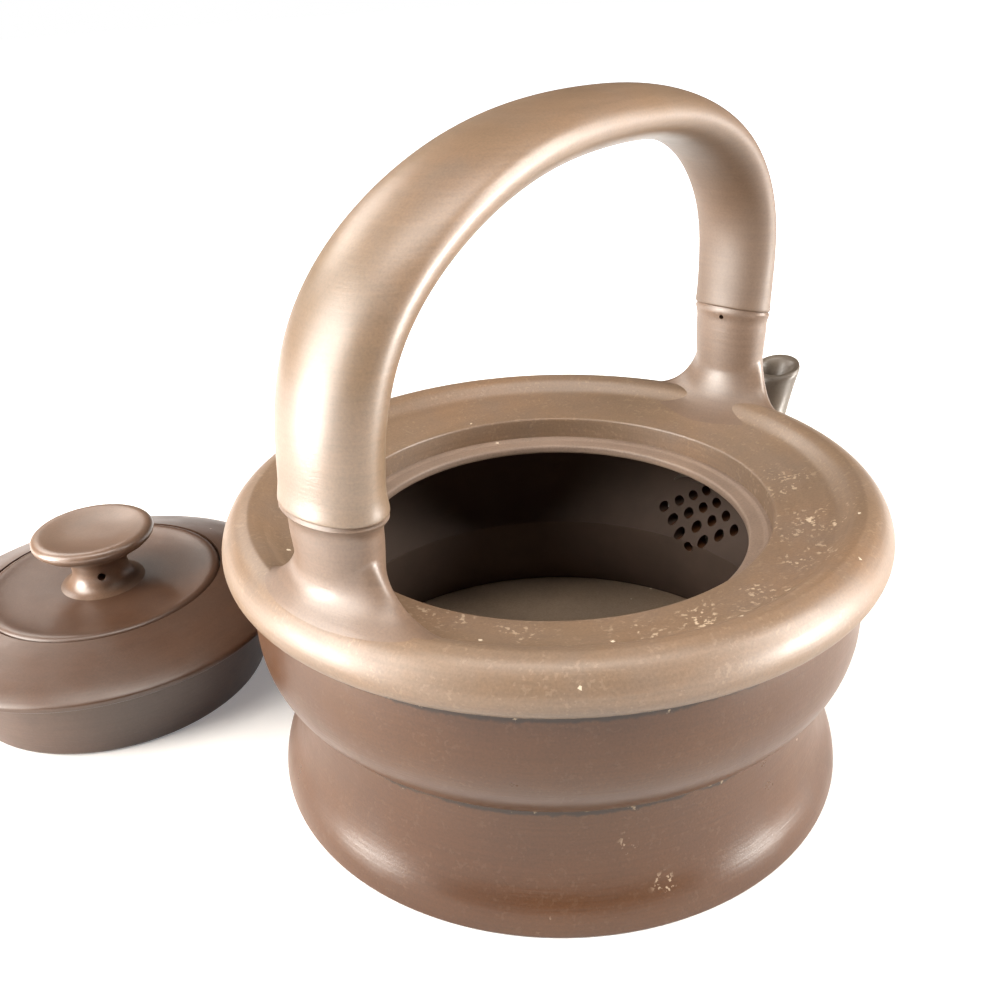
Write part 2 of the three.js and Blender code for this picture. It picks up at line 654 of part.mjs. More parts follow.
const lid = new THREE.Group();
const lidDistance = waistRadius + lidRadius + LID_STANDOFF;
const lidTurn = degrees(LID_DIRECTION);
lid.position.set(lidDistance * Math.cos(lidTurn), lidDistance * Math.sin(lidTurn), 0);
lid.add(
  piece("lid_flange", lidFlange(), "#7a6151", 0.55),
  piece("lid_skirt", lidSkirt(), "#8a6b59", 0.5),
  piece("lid_plate", lidPlate(), "#93735e", 0.55),
  piece("knob", knob(), "#8f6d59", 0.45),
);

const teapot = new THREE.Group();
teapot.add(pot, lid);

export default teapot;
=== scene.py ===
# %% [markdown]
# # An unglazed stoneware teapot with a tall handle
#
# This notebook dresses a finished CAD model. The CAD part holds the sizes, and Blender gives the
# same thirteen pieces of clay their soft edges, their fillets and their fired surface.
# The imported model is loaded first, because every later piece is placed in its frame.

# %% Load the CAD model
import math

import bmesh
import bpy
import numpy as np
from mathutils import Matrix, Vector


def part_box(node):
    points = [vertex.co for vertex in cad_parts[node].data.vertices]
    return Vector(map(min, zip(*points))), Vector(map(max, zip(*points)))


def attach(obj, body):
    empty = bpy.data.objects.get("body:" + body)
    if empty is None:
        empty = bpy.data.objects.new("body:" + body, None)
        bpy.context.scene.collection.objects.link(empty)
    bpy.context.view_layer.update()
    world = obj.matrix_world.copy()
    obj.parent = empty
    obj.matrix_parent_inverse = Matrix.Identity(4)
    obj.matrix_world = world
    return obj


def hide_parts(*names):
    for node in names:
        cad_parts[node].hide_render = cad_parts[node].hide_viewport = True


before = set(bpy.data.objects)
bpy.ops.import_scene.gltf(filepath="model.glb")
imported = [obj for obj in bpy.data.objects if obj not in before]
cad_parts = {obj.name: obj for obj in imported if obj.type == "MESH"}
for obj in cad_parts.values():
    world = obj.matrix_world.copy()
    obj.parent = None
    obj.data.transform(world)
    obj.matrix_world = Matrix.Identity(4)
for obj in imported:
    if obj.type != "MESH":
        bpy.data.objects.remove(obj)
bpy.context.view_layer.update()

MM = 0.001
print("CAD nodes:", ", ".join(sorted(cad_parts)))

# %% [markdown]
# ## The camera
#
# The photograph looks down at the pot from the side of the handle's rear leg. A wide mouth seen as an
# ellipse gives the camera's height, and the way the foot shrinks below it gives the distance.
# The camera is set from its place, its three turning angles and its lens, so no piece has to be moved.

# %% Camera
VIEW_TURN = math.radians(49)     # how far the pot's spout is turned away from the camera's right
CAMERA_DISTANCE = 196.53         # mm, on the ground, from the pot's axis
CAMERA_HEIGHT = 157.17           # mm above the table
YAW, PITCH, ROLL = -0.0556, 0.4663, -0.0434     # radians: aside, down, and about the line of sight
SENSOR_WIDTH, LENS = 36, 37.883  # mm


def turned_to_model(v):
    """A direction or point of the camera's own ground frame, in the model's frame."""
    c, s = math.cos(VIEW_TURN), math.sin(VIEW_TURN)
    return Vector((v[0] * c + v[1] * s, -v[0] * s + v[1] * c, v[2]))


forward = Vector((math.sin(YAW) * math.cos(PITCH), math.cos(YAW) * math.cos(PITCH), -math.sin(PITCH)))
level_right = Vector((math.cos(YAW), -math.sin(YAW), 0))
level_up = level_right.cross(forward)
right = math.cos(ROLL) * level_right + math.sin(ROLL) * level_up
up = -math.sin(ROLL) * level_right + math.cos(ROLL) * level_up
camera_data = bpy.data.cameras.new("photo_camera")
camera_data.sensor_width = SENSOR_WIDTH
camera_data.lens = LENS
camera_data.clip_start = 10 * MM
camera = bpy.data.objects.new("photo_camera", camera_data)
bpy.context.scene.collection.objects.link(camera)
axes = [turned_to_model(right), turned_to_model(up), -turned_to_model(forward)]
camera.matrix_world = Matrix.Translation(
    turned_to_model((0, -CAMERA_DISTANCE * MM, CAMERA_HEIGHT * MM))
) @ Matrix(axes).transposed().to_4x4()
bpy.context.scene.camera = camera
print("camera at", [round(x / MM, 1) for x in camera.matrix_world.translation], "mm")

# %% [markdown]
# ## Lines to shape the clay by
#
# Almost every piece of this pot is round, because it was thrown or shaped on a wheel. A turned piece is
# an outline of radius and height, spun about an axis. The potter's profile is one flowing line, so it is
# drawn here as a spline through a few measured points, and not as a row of straight cuts. Real clay has
# no knife edges either, so each corner of an outline can name a rounding.

# %% Flowing lines
def distances(line):
    """How far along a line each of its points lies."""
    return np.concatenate([[0], np.cumsum(np.linalg.norm(np.diff(line, axis=0), axis=1))])


def flowing(knots, steps):
    """A smooth line through the knots, as a natural cubic spline over their distances."""
    knots = np.array(knots, float)
    along = distances(knots)
    gaps = np.diff(along)
    count = len(knots)
    system = np.eye(count)
    known = np.zeros_like(knots)
    for i in range(1, count - 1):
        system[i, i - 1:i + 2] = gaps[i - 1], 2 * (gaps[i - 1] + gaps[i]), gaps[i]
        known[i] = 6 * ((knots[i + 1] - knots[i]) / gaps[i] - (knots[i] - knots[i - 1]) / gaps[i - 1])
    bend = np.linalg.solve(system, known)
    line = []
    for s in np.linspace(0, along[-1], steps):
        i = min(int(np.searchsorted(along, s, side="right")) - 1, count - 2)
        a, b = along[i + 1] - s, s - along[i]
        line.append((bend[i] * a ** 3 + bend[i + 1] * b ** 3) / (6 * gaps[i])
                    + (knots[i] / gaps[i] - bend[i] * gaps[i] / 6) * a
                    + (knots[i + 1] / gaps[i] - bend[i + 1] * gaps[i] / 6) * b)
    return np.array(line)


def read_off(line, first):
    """The second number of a line's points, where their first number is this."""
    return float(np.interp(first, line[:, 0], line[:, 1]))


def point_along(line, span, distance):
    """The first two numbers of a line at a distance along it. span holds the distances of its points."""
    return [float(np.interp(distance, span, line[:, k])) for k in (0, 1)]


print("a spline through three points:", flowing([(0, 0), (1, 1), (2, 0)], 5).round(2).tolist())

# %% Outlines and easing
CORNER_CUTS = 5     # faces round one rounded corner


def rounded(corners):
    """Points of a closed outline from (radius, height, rounding) corners, in millimetres."""
    points = []
    count = len(corners)
    for i, corner in enumerate(corners):
        here = Vector(corner[:2])
        soft = corner[2] if len(corner) > 2 else 0
        before = Vector(corners[i - 1][:2]) - here
        after = Vector(corners[(i + 1) % count][:2]) - here
        soft = min(soft, 0.45 * before.length, 0.45 * after.length)
        if soft <= 0:
            points.append(here)
            continue
        start = here + before.normalized() * soft
        end = here + after.normalized() * soft
        for k in range(CORNER_CUTS + 1):
            t = k / CORNER_CUTS
            points.append(start * (1 - t) ** 2 + here * 2 * t * (1 - t) + end * t ** 2)
    return points


def turns(count):
    """Angles that part one full turn."""
    return [2 * math.pi * k / count for k in range(count)]


def mixed(a, b, t):
    """The value at a share t of the way from a to b."""
    return a + (b - a) * t


def smooth_step(t):
    """A share that starts and stops softly between 0 and 1."""
    t = min(1.0, max(0.0, t))
    return t * t * (3 - 2 * t)


def bent(a, handle_a, handle_b, b, t):
    """A point on the curve from a to b that is drawn by two handles."""
    return a * (1 - t) ** 3 + handle_a * 3 * t * (1 - t) ** 2 + handle_b * 3 * t ** 2 * (1 - t) + b * t ** 3


print("a square with one soft corner has", len(rounded([(0, 0), (9, 0), (9, 9, 2), (0, 9)])), "points")

# %% [markdown]
# ## Meshes from lines
#
# Spinning an outline gives the turned pieces. The handle, its roots and the spout are not round, and
# they are skinned from rings instead, as a potter rolls and bends a tube. Holes are pierced with a
# boolean, which leaves a true hole in the mesh, where a dark spot of paint would only look like one.

# %% Mesh helpers
SAME_PLACE = 1e-7       # metres: points closer than this are one point


def piece_from(name, vertices, faces, sharp=40):
    """A smooth-shaded object from points in millimetres. Edges sharper than an angle stay sharp."""
    mesh = bpy.data.meshes.new(name)
    mesh.from_pydata([Vector(v) * MM for v in vertices], [], faces)
    work = bmesh.new()
    work.from_mesh(mesh)
    bmesh.ops.remove_doubles(work, verts=work.verts, dist=SAME_PLACE)
    bmesh.ops.recalc_face_normals(work, faces=work.faces)
    work.to_mesh(mesh)
    work.free()
    mesh.shade_smooth()
    mesh.set_sharp_from_angle(angle=math.radians(sharp))
    made = bpy.data.objects.new(name, mesh)
    bpy.context.scene.collection.objects.link(made)
    return made


def spun(name, outline, centre=(0, 0), steps=240):
    """Spins a closed outline of (radius, height) points about an upright axis."""
    count = len(outline)
    vertices = [(centre[0] + r * math.cos(angle), centre[1] + r * math.sin(angle), z)
                for angle in turns(steps) for r, z in outline]
    faces = []
    for step in range(steps):
        a, b = step * count, (step + 1) % steps * count
        for i in range(count):
            j = (i + 1) % count
            if outline[i][0] > 0 or outline[j][0] > 0:
                faces.append((a + i, b + i, b + j, a + j))
    return piece_from(name, vertices, faces)


def skinned(name, rings):
    """Skins the wall of a hollow tube: rings along its outside and back along its inside."""
    sides = len(rings[0])
    vertices = [p for ring in rings for p in ring]
    faces = []
    for k in range(len(rings)):
        a, b = k * sides, (k + 1) % len(rings) * sides
        for i in range(sides):
            j = (i + 1) % sides
            faces.append((a + i, a + j, b + j, b + i))
    return piece_from(name, vertices, faces, sharp=50)


print("a turned piece has a line of points every", 360 / 240, "degrees")


# %% Piercing and placing
PIN_SIDES = 20


def pins(name, centres, x_from, x_to, radius):
    """A mesh of round pins along X, to pierce with."""
    vertices, faces = [], []
    sides = PIN_SIDES
    for y, z in centres:
        first = len(vertices)
        for x in (x_from, x_to):
            for angle in turns(sides):
                vertices.append((x, y + radius * math.cos(angle), z + radius * math.sin(angle)))
        for k in range(sides):
            j = (k + 1) % sides
            faces.append((first + k, first + j, first + sides + j, first + sides + k))
        faces.append(tuple(first + k for k in range(sides)))
        faces.append(tuple(first + sides + k for k in range(sides)))
    return piece_from(name, vertices, faces)


def cut_away(target, tool):
    """Subtracts one mesh from another and removes the tool."""
    change = target.modifiers.new("cut", "BOOLEAN")
    change.operation = "DIFFERENCE"
    change.solver = "EXACT"
    change.object = tool
    bpy.context.view_layer.update()
    evaluated = target.evaluated_get(bpy.context.evaluated_depsgraph_get())
    mesh = bpy.data.meshes.new_from_object(evaluated)
    target.modifiers.remove(change)
    old = target.data
    target.data = mesh
    bpy.data.meshes.remove(old)
    bpy.data.objects.remove(tool)
    mesh.shade_smooth()
    mesh.set_sharp_from_angle(angle=math.radians(40))
    print(f"{target.name} is pierced and has {len(mesh.polygons)} faces")


def placed(piece, node, material):
    """Gives a piece its body and its finish, hides the CAD node that it stands for, and prints how far it
    reaches past that node's box.
    """
    body = "lid" if node in ("lid_flange", "lid_skirt", "lid_plate", "knob") else "pot"
    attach(piece, body)
    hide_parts(node)
    piece.data.materials.clear()
    piece.data.materials.append(material)
    low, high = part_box(node)
    mine = [Vector(c) for c in piece.bound_box]
    grown = max(max(low[k] - min(c[k] for c in mine), max(c[k] for c in mine) - high[k]) for k in range(3))
    print(f"{piece.name}: {len(piece.data.polygons)} faces, {grown / MM:+.2f} mm past its CAD box")


# %% [markdown]
# ## The clay
#
# The pot is unglazed stoneware of the brown, iron-rich kind that is burnished with horn and bamboo
# tools before firing. The surface is dense and satin: it has no glaze, but the rubbed skin reflects a
# window as a broad soft streak. Close up it is grainy, with pale and dark sand, open pores, and a few
# light specks up to 1 mm across where a grain of pale clay reached the skin.
# A Principled shader with the refraction of fired clay, 1.5, and a roughness of 0.32 to 0.5 gives the
# satin, and 0.66 the clay that no tool has rubbed. Noise textures give the grain, each at a scale that
# is worked out from a size in millimetres. All of them are read in object coordinates, so they run on
# from piece to piece as one clay does.

# %% Node and colour helpers
def linear(hex_colour):
    """A hex colour as written for the screen, in the linear numbers that Blender works with."""
    values = [int(hex_colour[i:i + 2], 16) / 255 for i in (1, 3, 5)]
    return [v / 12.92 if v <= 0.04045 else ((v + 0.055) / 1.055) ** 2.4 for v in values] + [1]


def per_metre(size):
    """The scale of a texture whose grains or cells are this many millimetres apart."""
    return 1 / (size * MM)


def add(tree, kind, inputs, out=0, stops=(), **settings):
    """Adds a shader node and gives back one of its outputs.

    inputs says what goes into its sockets, by their order or their names: another node's output, a hex
    colour or plain numbers. stops are the places and greys of a colour ramp."""
    node = tree.nodes.new("ShaderNode" + kind)
    for key, value in settings.items():
        setattr(node, key, value)
    for key, value in inputs.items() if isinstance(inputs, dict) else enumerate(inputs):
        if isinstance(value, bpy.types.NodeSocket):
            tree.links.new(value, node.inputs[key])
        else:
            node.inputs[key].default_value = linear(value) if isinstance(value, str) else value
    if stops:
        places = node.color_ramp.elements
        while len(places) < len(stops):
            places.new(0.5)
        for place, (position, grey) in zip(places, stops):
            place.position = position
            place.color = (grey, grey, grey, 1)
    return node.outputs[out]


NOISE = {"Detail": 3, "Roughness": 0.55}            # inputs of a noise whose grains have smaller ones on them
COLOURS = {"out": 2, "data_type": "RGBA"}           # for a Mix node, whose inputs are then 0, 6 and 7
SMOOTH = {"interpolation_type": "SMOOTHSTEP"}       # for a Map Range: value, from, to, new from, new to
print("the brown of the clay, in linear numbers:", [round(v, 3) for v in linear("#8F6F5A")[:3]])

# %% [markdown]
# ### The kiln's tones
#
# No two sides of such a pot are the same brown. Flame and ash leave warm and grey clouds, from four
# centimetres down to one, and rubbing on the wheel leaves fine level lines. Mixing three browns by two
# sizes of noise gives the clouds. The lines are a noise that is squeezed in height.

# %% Clouds, wheel lines and sand
def kiln_clouds(tree, place, base, warm, grey):
    """Three browns in clouds and patches. Gives the tone, and the patches for the gloss."""
    # Clouds about 42 mm across, and patches of 10 mm
    cloud = add(tree, "TexNoise", {"Vector": place, "Scale": per_metre(41.67), **NOISE})
    patch = add(tree, "TexNoise", {"Vector": place, "Scale": per_metre(10.53), **NOISE, "Detail": 5})
    warmer = add(tree, "ValToRGB", [cloud], stops=[(0.35, 0), (0.68, 1)])
    greyer = add(tree, "ValToRGB", [patch], stops=[(0.42, 0), (0.75, 0.6)])
    tone = add(tree, "Mix", {0: warmer, 6: base, 7: warm}, **COLOURS)
    return add(tree, "Mix", {0: greyer, 6: tone, 7: grey}, **COLOURS), patch


def wheel_and_sand(tree, place, tone):
    """Adds the wheel's lines and the sand. Gives the tone, and both patterns for the relief."""
    # Lines from rubbing, 16.7 mm long and 26 times finer in height, which is 0.64 mm
    level = add(tree, "Mapping", {"Vector": place, "Scale": (1, 1, 26)})
    lines = add(tree, "TexNoise", {"Vector": level, "Scale": per_metre(16.67), **NOISE})
    streaks = add(tree, "ValToRGB", [lines], stops=[(0.3, 0.93), (0.7, 1.07)])
    tone = add(tree, "Mix", {0: 1, 6: tone, 7: streaks}, **COLOURS, blend_type="MULTIPLY")
    # Sand grains, a little lighter or darker than the clay. The finest are 0.2 mm, and are drawn at
    # 0.48 mm, because a smaller grain wouldn't show
    sand = add(tree, "TexNoise", {"Vector": place, "Scale": per_metre(0.4762), "Detail": 2, "Roughness": 0.6})
    grains = add(tree, "ValToRGB", [sand], stops=[(0.3, 0.88), (0.5, 1), (0.72, 1.1)])
    return add(tree, "Mix", {0: 1, 6: tone, 7: grains}, **COLOURS, blend_type="MULTIPLY"), lines, sand


print("lines every", round(16.67 / 26, 2), "mm")

# %% [markdown]
# ### Pale grains
#
# Here and there the rubbing tool has torn the skin open on a sandy patch, and a crowd of pale, crooked
# flecks shows. A fleck is where a fine noise is high, and a crowd is a ball in space inside which the
# flecks are let through, so each crowd can be put where the photograph has one. Single round grains
# come from the cells of a Voronoi texture, of which a lot is drawn for only a few.

# %% Flecks and single grains
def pale_grains(tree, place, tone, sand, specks, crowds):
    """Adds the pale grains. Gives the tone, and the single grains for the relief."""
    crowd = 0.1 * specks
    for x, y, z, reach, share in crowds:
        away = add(tree, "VectorMath", (place, (x * MM, y * MM, z * MM)), "Value", operation="DISTANCE")
        inside = add(tree, "MapRange", (away, reach * MM, 0.3 * reach * MM, 0, share), **SMOOTH)
        crowd = add(tree, "Math", (inside, crowd), operation="MAXIMUM")
    # Flecks 1 mm apart and half as wide, in broken groups of 5 mm
    broken = add(tree, "TexNoise", {"Vector": place, "Scale": per_metre(4.762), **NOISE})
    broken = add(tree, "MapRange", (broken, 0.4, 0.6, 0, 1), **SMOOTH)
    fleck = add(tree, "TexNoise", {"Vector": place, "Scale": per_metre(1), **NOISE, "Detail": 2})
    fleck = add(tree, "MapRange", (fleck, 0.56, 0.64, 0, 1), **SMOOTH)
    crowd = add(tree, "Math", (crowd, broken), operation="MULTIPLY")
    fleck = add(tree, "Math", (fleck, crowd), operation="MULTIPLY")
    fleck = add(tree, "Math", (fleck, 0.75), operation="MULTIPLY")
    tone = add(tree, "Mix", {0: fleck, 6: tone, 7: "#D9C3A8"}, **COLOURS)
    # Single grains of 0.5 to 1 mm, in a few of the cells of 1.9 mm. The sand makes their edges uneven
    away = add(tree, "TexVoronoi", {"Vector": place, "Scale": per_metre(1.923), "Randomness": 1}, "Distance")
    reach = add(tree, "Math", (sand, 0.4), operation="MULTIPLY")
    grain = add(tree, "Math", (away, reach), operation="LESS_THAN")
    lot = add(tree, "SeparateColor", [away.node.outputs["Color"]])
    drawn = add(tree, "Math", (lot, 0.006 * specks), operation="LESS_THAN")
    grain = add(tree, "Math", (grain, drawn), operation="MULTIPLY")
    pale = add(tree, "Math", (grain, 0.7), operation="MULTIPLY")
    return add(tree, "Mix", {0: pale, 6: tone, 7: "#EADBC4"}, **COLOURS), grain


print("where specks is 1, one cell in", round(1 / 0.006), "holds a grain")

# %% [markdown]
# ### Luted joints, and painted shade under the rim
#
# Two rings of clay are stuck together with slip, and the joint stays visible as a dark, uneven line of
# about a millimetre, with pale crumbs of slip along it. A groove in the mesh that thin would need
# far too many faces, so the line is drawn by height, outside the wall only. The same kind of line is also
# painted where the rim overhangs the band. The line on the rim's underside is partly the upper joint and
# partly painted shade for the crevice there. The one on the band, below that joint, is painted shade
# only. The thickness comes from the same noise as the crumbs, which makes the line break off and swell.

# %% Dark lines at the joints, and painted shade under the rim
OUTSIDE_RADIUS = 55     # mm from the axis: nearer is the mouth, and the wall's inner face at the waist


def draw_joint_and_shade_lines(tree, place, tone, across, joints):
    """Draws each dark line: a joint's line, or a line of painted shade under the rim. The lines are (height,
    width) in millimetres, across is the place without z.
    """
    height = add(tree, "SeparateXYZ", [place], "Z")
    radius = add(tree, "VectorMath", [across], "Value", operation="LENGTH")
    outside = add(tree, "Math", (radius, OUTSIDE_RADIUS * MM), operation="GREATER_THAN")
    dark = add(tree, "Math", (outside, 0.85), operation="MULTIPLY")
    # The line wanders by 0.6 mm up and down over 5.6 mm, and its crumbs are 2.4 mm apart
    wander = add(tree, "TexNoise", {"Vector": place, "Scale": per_metre(5.556), **NOISE})
    wander = add(tree, "Math", (wander, 1.2 * MM, -0.6 * MM), operation="MULTIPLY_ADD")
    crumbs = add(tree, "TexNoise", {"Vector": place, "Scale": per_metre(2.381), **NOISE})
    level = add(tree, "Math", (height, wander), operation="ADD")
    for z, width in joints:
        off = add(tree, "Math", (level, z * MM), operation="SUBTRACT")
        off = add(tree, "Math", [off], operation="ABSOLUTE")
        thick = add(tree, "Math", (crumbs, width * MM), operation="MULTIPLY")
        line = add(tree, "Math", (off, thick), operation="DIVIDE")
        line = add(tree, "MapRange", (line, 1.3, 0.5, 0, 1), **SMOOTH)
        line = add(tree, "Math", (line, dark), operation="MULTIPLY")
        tone = add(tree, "Mix", {0: line, 6: tone, 7: "#1F1510"}, **COLOURS)
        beside = add(tree, "MapRange", (off, 1.4 * MM, 0.5 * MM, 0, 1), **SMOOTH)
        beside = add(tree, "Math", (outside, beside), operation="MULTIPLY")
        crumb = add(tree, "MapRange", (crumbs, 0.64, 0.69, 0, 1), **SMOOTH)
        crumb = add(tree, "Math", (beside, crumb), operation="MULTIPLY")
        crumb = add(tree, "Math", (crumb, 0.6), operation="MULTIPLY")
        tone = add(tree, "Mix", {0: crumb, 6: tone, 7: "#C8B398"}, **COLOURS)
    return tone


print("lines are drawn beyond", OUTSIDE_RADIUS, "mm from the axis")

# %% [markdown]
# ### Relief
#
# Even a burnished skin is not a mirror: the horn blade leaves faint waves, sand stands up a little, and
# there are open pores. All of it is shallower than a tenth of a millimetre, too small for the mesh,
# and it is what breaks the edge of a reflection. Three bump nodes in a row do it, the widest first.

# %% Waves, sand and pores
def relief(tree, place, lines, sand, grain):
    """The bent normal of a rubbed skin."""
    # Waves 6.7 mm long, a quarter of 0.22 mm high
    waves = add(tree, "TexNoise", {"Vector": place, "Scale": per_metre(6.667), **NOISE, "Detail": 2})
    half_lines = add(tree, "Math", (lines, 0.5), operation="MULTIPLY")
    waves = add(tree, "Math", (waves, half_lines), operation="ADD")
    skin = add(tree, "Bump", {"Height": waves, "Strength": 0.25, "Distance": 0.22 * MM})
    raised = add(tree, "Math", (grain, 0.6), operation="MULTIPLY")
    raised = add(tree, "Math", (sand, raised), operation="ADD")
    skin = add(tree, "Bump", {"Height": raised, "Normal": skin, "Strength": 0.25, "Distance": 0.06 * MM})
    # Pores 0.4 mm across, in cells of 1.1 mm. Finer ones wouldn't show
    pores = add(tree, "TexVoronoi", {"Vector": place, "Scale": per_metre(1.111)})
    pores = add(tree, "ValToRGB", [pores], stops=[(0, 0), (0.2, 1)])
    return add(tree, "Bump", {"Height": pores, "Normal": skin, "Strength": 0.14, "Distance": 0.06 * MM})


print("the deepest relief is", 0.22 * 0.25, "mm")

# %% [markdown]
# ### One recipe for every piece
#
# All the pieces are the same clay, so they share one recipe. What differs is how long each was rubbed,
# and how much flame it saw. Each finish is named for that. Some finishes also carry painted light: dark
# lines of painted shade under the rim, painted shade on the handle towards the spout, and a lighter knob
# as a painted highlight. `specks` is how grainy a piece is, and `shine` its mirror strength, where 0.5 is
# plain fired clay and 1 is a skin polished by hands.
# The walls have a second face inside the pot, which was never rubbed and which tea has stained. A face
# that looks at the pot's axis gets that tone.

# %% The stoneware
# Painted shade on the handle: from the first distance to the second along x, towards the spout, it turns
# darker, as if less lamp light reached that leg
SPOUT_SHADE_FROM, SPOUT_SHADE_TO = 15, 62       # mm towards the spout, where the handle's tone turns from near to far


def stoneware(name, base, warm, grey, roughness, specks, shine, joints=(), crowds=(), inner=None, far=None):
    """Brown stoneware in three tones, with its joint lines, its lines of painted shade and its crowds of
    grains.

    inner holds two tones for faces that look at the axis, and far a tone of painted shade towards the spout."""
    material = bpy.data.materials.new(name)
    material.use_nodes = True
    tree = material.node_tree
    shader = tree.nodes["Principled BSDF"]
    place = add(tree, "TexCoord", (), "Object")
    across = add(tree, "VectorMath", (place, (1, 1, 0)), operation="MULTIPLY")
    tone, patch = kiln_clouds(tree, place, base, warm, grey)
    # The patches are also a little smoother or rougher, by 0.11
    gloss = add(tree, "Math", (patch, 0.22, roughness - 0.11), operation="MULTIPLY_ADD")
    if far:
        # Painted shade: the handle darkens towards the spout leg, as if less lamp light reached it, and it
        # turns a little rougher there
        towards = add(tree, "SeparateXYZ", [place], "X")
        painted_shade = add(tree, "MapRange", (towards, SPOUT_SHADE_FROM * MM, SPOUT_SHADE_TO * MM, 0, 0.8), **SMOOTH)
        tone = add(tree, "Mix", {0: painted_shade, 6: tone, 7: far}, **COLOURS)
        duller = add(tree, "MapRange", (towards, SPOUT_SHADE_FROM * MM, SPOUT_SHADE_TO * MM, 0, 0.14), **SMOOTH)
        gloss = add(tree, "Math", (gloss, duller), operation="ADD")
    tone, lines, sand = wheel_and_sand(tree, place, tone)
    tone, grain = pale_grains(tree, place, tone, sand, specks, crowds)
    # Dark lines: the joints, and painted shade under the rim
    tone = draw_joint_and_shade_lines(tree, place, tone, across, joints) if joints else tone
    if inner:
        normal = add(tree, "NewGeometry", (), "Normal")
        facing = add(tree, "VectorMath", (across, normal), "Value", operation="DOT_PRODUCT")
        inside = add(tree, "Math", (facing, -0.001), operation="LESS_THAN")
        darkened = add(tree, "Mix", {0: patch, 6: inner[0], 7: inner[1]}, **COLOURS)
        tone = add(tree, "Mix", {0: inside, 6: tone, 7: darkened}, **COLOURS)
        matt = add(tree, "Math", (inside, 0.8), operation="MULTIPLY")
        gloss = add(tree, "Math", (gloss, matt), operation="MAXIMUM")
    tree.links.new(tone, shader.inputs["Base Color"])
    tree.links.new(gloss, shader.inputs["Roughness"])
    tree.links.new(relief(tree, place, lines, sand, grain), shader.inputs["Normal"])
    shader.inputs["IOR"].default_value = 1.5
    shader.inputs["Specular IOR Level"].default_value = shine
    print(f"{name}: {len(tree.nodes)} nodes")
    return material


# %% [markdown]
# ### The nine finishes
#
# Each finish is named for what was done to the clay, and its comment says what the eye sees of it. The
# first three colours are its common, its warm and its grey brown. The walls are the darkest. The
# shoulder and the handle are paler, and the slab and the ledge inside the pot are the palest.

# %% The finishes
# Places on the shoulder where the grains crowd, as x, y, z, reach and share
CROWDS = [
    (26, -49, 60, 9, 1.0), (10, -54, 60, 8, 0.9), (-5, -54, 60, 8, 0.9), (-18, -50, 60, 9, 1.0),
    (-30, -44, 60, 8, 0.7), (35, -32, 59, 12, 0.5), (-45, -14, 58.5, 9, 0.6), (-41, -28, 59, 9, 0.5),
    (20, -44, 59, 12, 0.45),
]
# The same for three scraped places on the foot
SCRAPES = [(-30.3, -51.8, 8, 3.2, 0.7), (-48.4, -37.9, 3, 2.6, 0.7), (-33.4, -46, 17, 3.2, 0.5)]
# Burnished once and sandy: a pale, soft-edged sheen with grains in it, and the dark line under the rim, which
# is the upper joint and painted shade in the crevice there
shoulder_clay = stoneware("burnished_sandy_stoneware", "#77624F", "#826750", "#6E5F53", 0.43, 1.1, 0.8,
                          joints=[(53.3, 1.6)], crowds=CROWDS)
# Smoothed with a wet finger: the same brown without the grains
root_clay = stoneware("finger_smoothed_stoneware", "#6F5B4C", "#785F4E", "#67574C", 0.42, 0.2, 0.9)
# Burnished with a horn blade on the wheel: dark and dense, with the sharpest streaks on the foot. Its line at
# 24.6 mm is the lower joint, and the one at 50.1 mm is painted shade under the rim
body_clay = stoneware("burnished_dark_stoneware", "#4E311D", "#5A3B23", "#462E20", 0.32, 0.3, 0.5,
                      joints=[(24.6, 1.6), (50.1, 1.9)], crowds=SCRAPES, inner=("#55443A", "#3F322A"))
# Rolled, and polished by the hands that lift it: the lightest skin, with a long bright streak, and painted
# shade that darkens it towards the spout leg
handle_clay = stoneware("hand_polished_stoneware", "#77634F", "#836852", "#6E6053", 0.39, 0.15, 1.0,
                        far="#5F4A3A")
# Turned thin and burnished: a darker brown that mirrors softly
lid_clay = stoneware("burnished_thin_stoneware", "#50382A", "#5C4130", "#4A372C", 0.38, 0.15, 0.8)
# Held at every pour: smoother than the lid. Its lighter brown is a painted highlight for the light that its
# flat top catches
knob_clay = stoneware("hand_polished_knob_stoneware_painted_highlight", "#6E5647", "#785D49", "#625045", 0.36, 0.15, 1.0)
# Cut from a slab and never rubbed: pale and matt
inner_clay = stoneware("unrubbed_slab_stoneware", "#8F7D6C", "#99846F", "#807062", 0.66, 0.3, 0.5)
# Turned, and worn by the lid: greyer, between satin and matt
ledge_clay = stoneware("turned_worn_stoneware", "#877467", "#927C6B", "#7B6B60", 0.5, 0.5, 0.5)
# Pulled over a stick and smoked in the kiln: a grey brown
spout_clay = stoneware("smoked_stoneware", "#5C5248", "#635849", "#554E46", 0.4, 0.2, 0.7)

# %% [markdown]
# ## The foot and its base slab
#
# The foot wall is a wide ring that is upright at the table and sweeps in to a waist. Its skin covers the
# edge of the flat slab that closes the pot. Both are turned. The wall's top edge is rounded by a third of
# a millimetre, and so is the edge of the band above it: two rounded edges that meet are what makes the
# fine dark line round a luted pot.

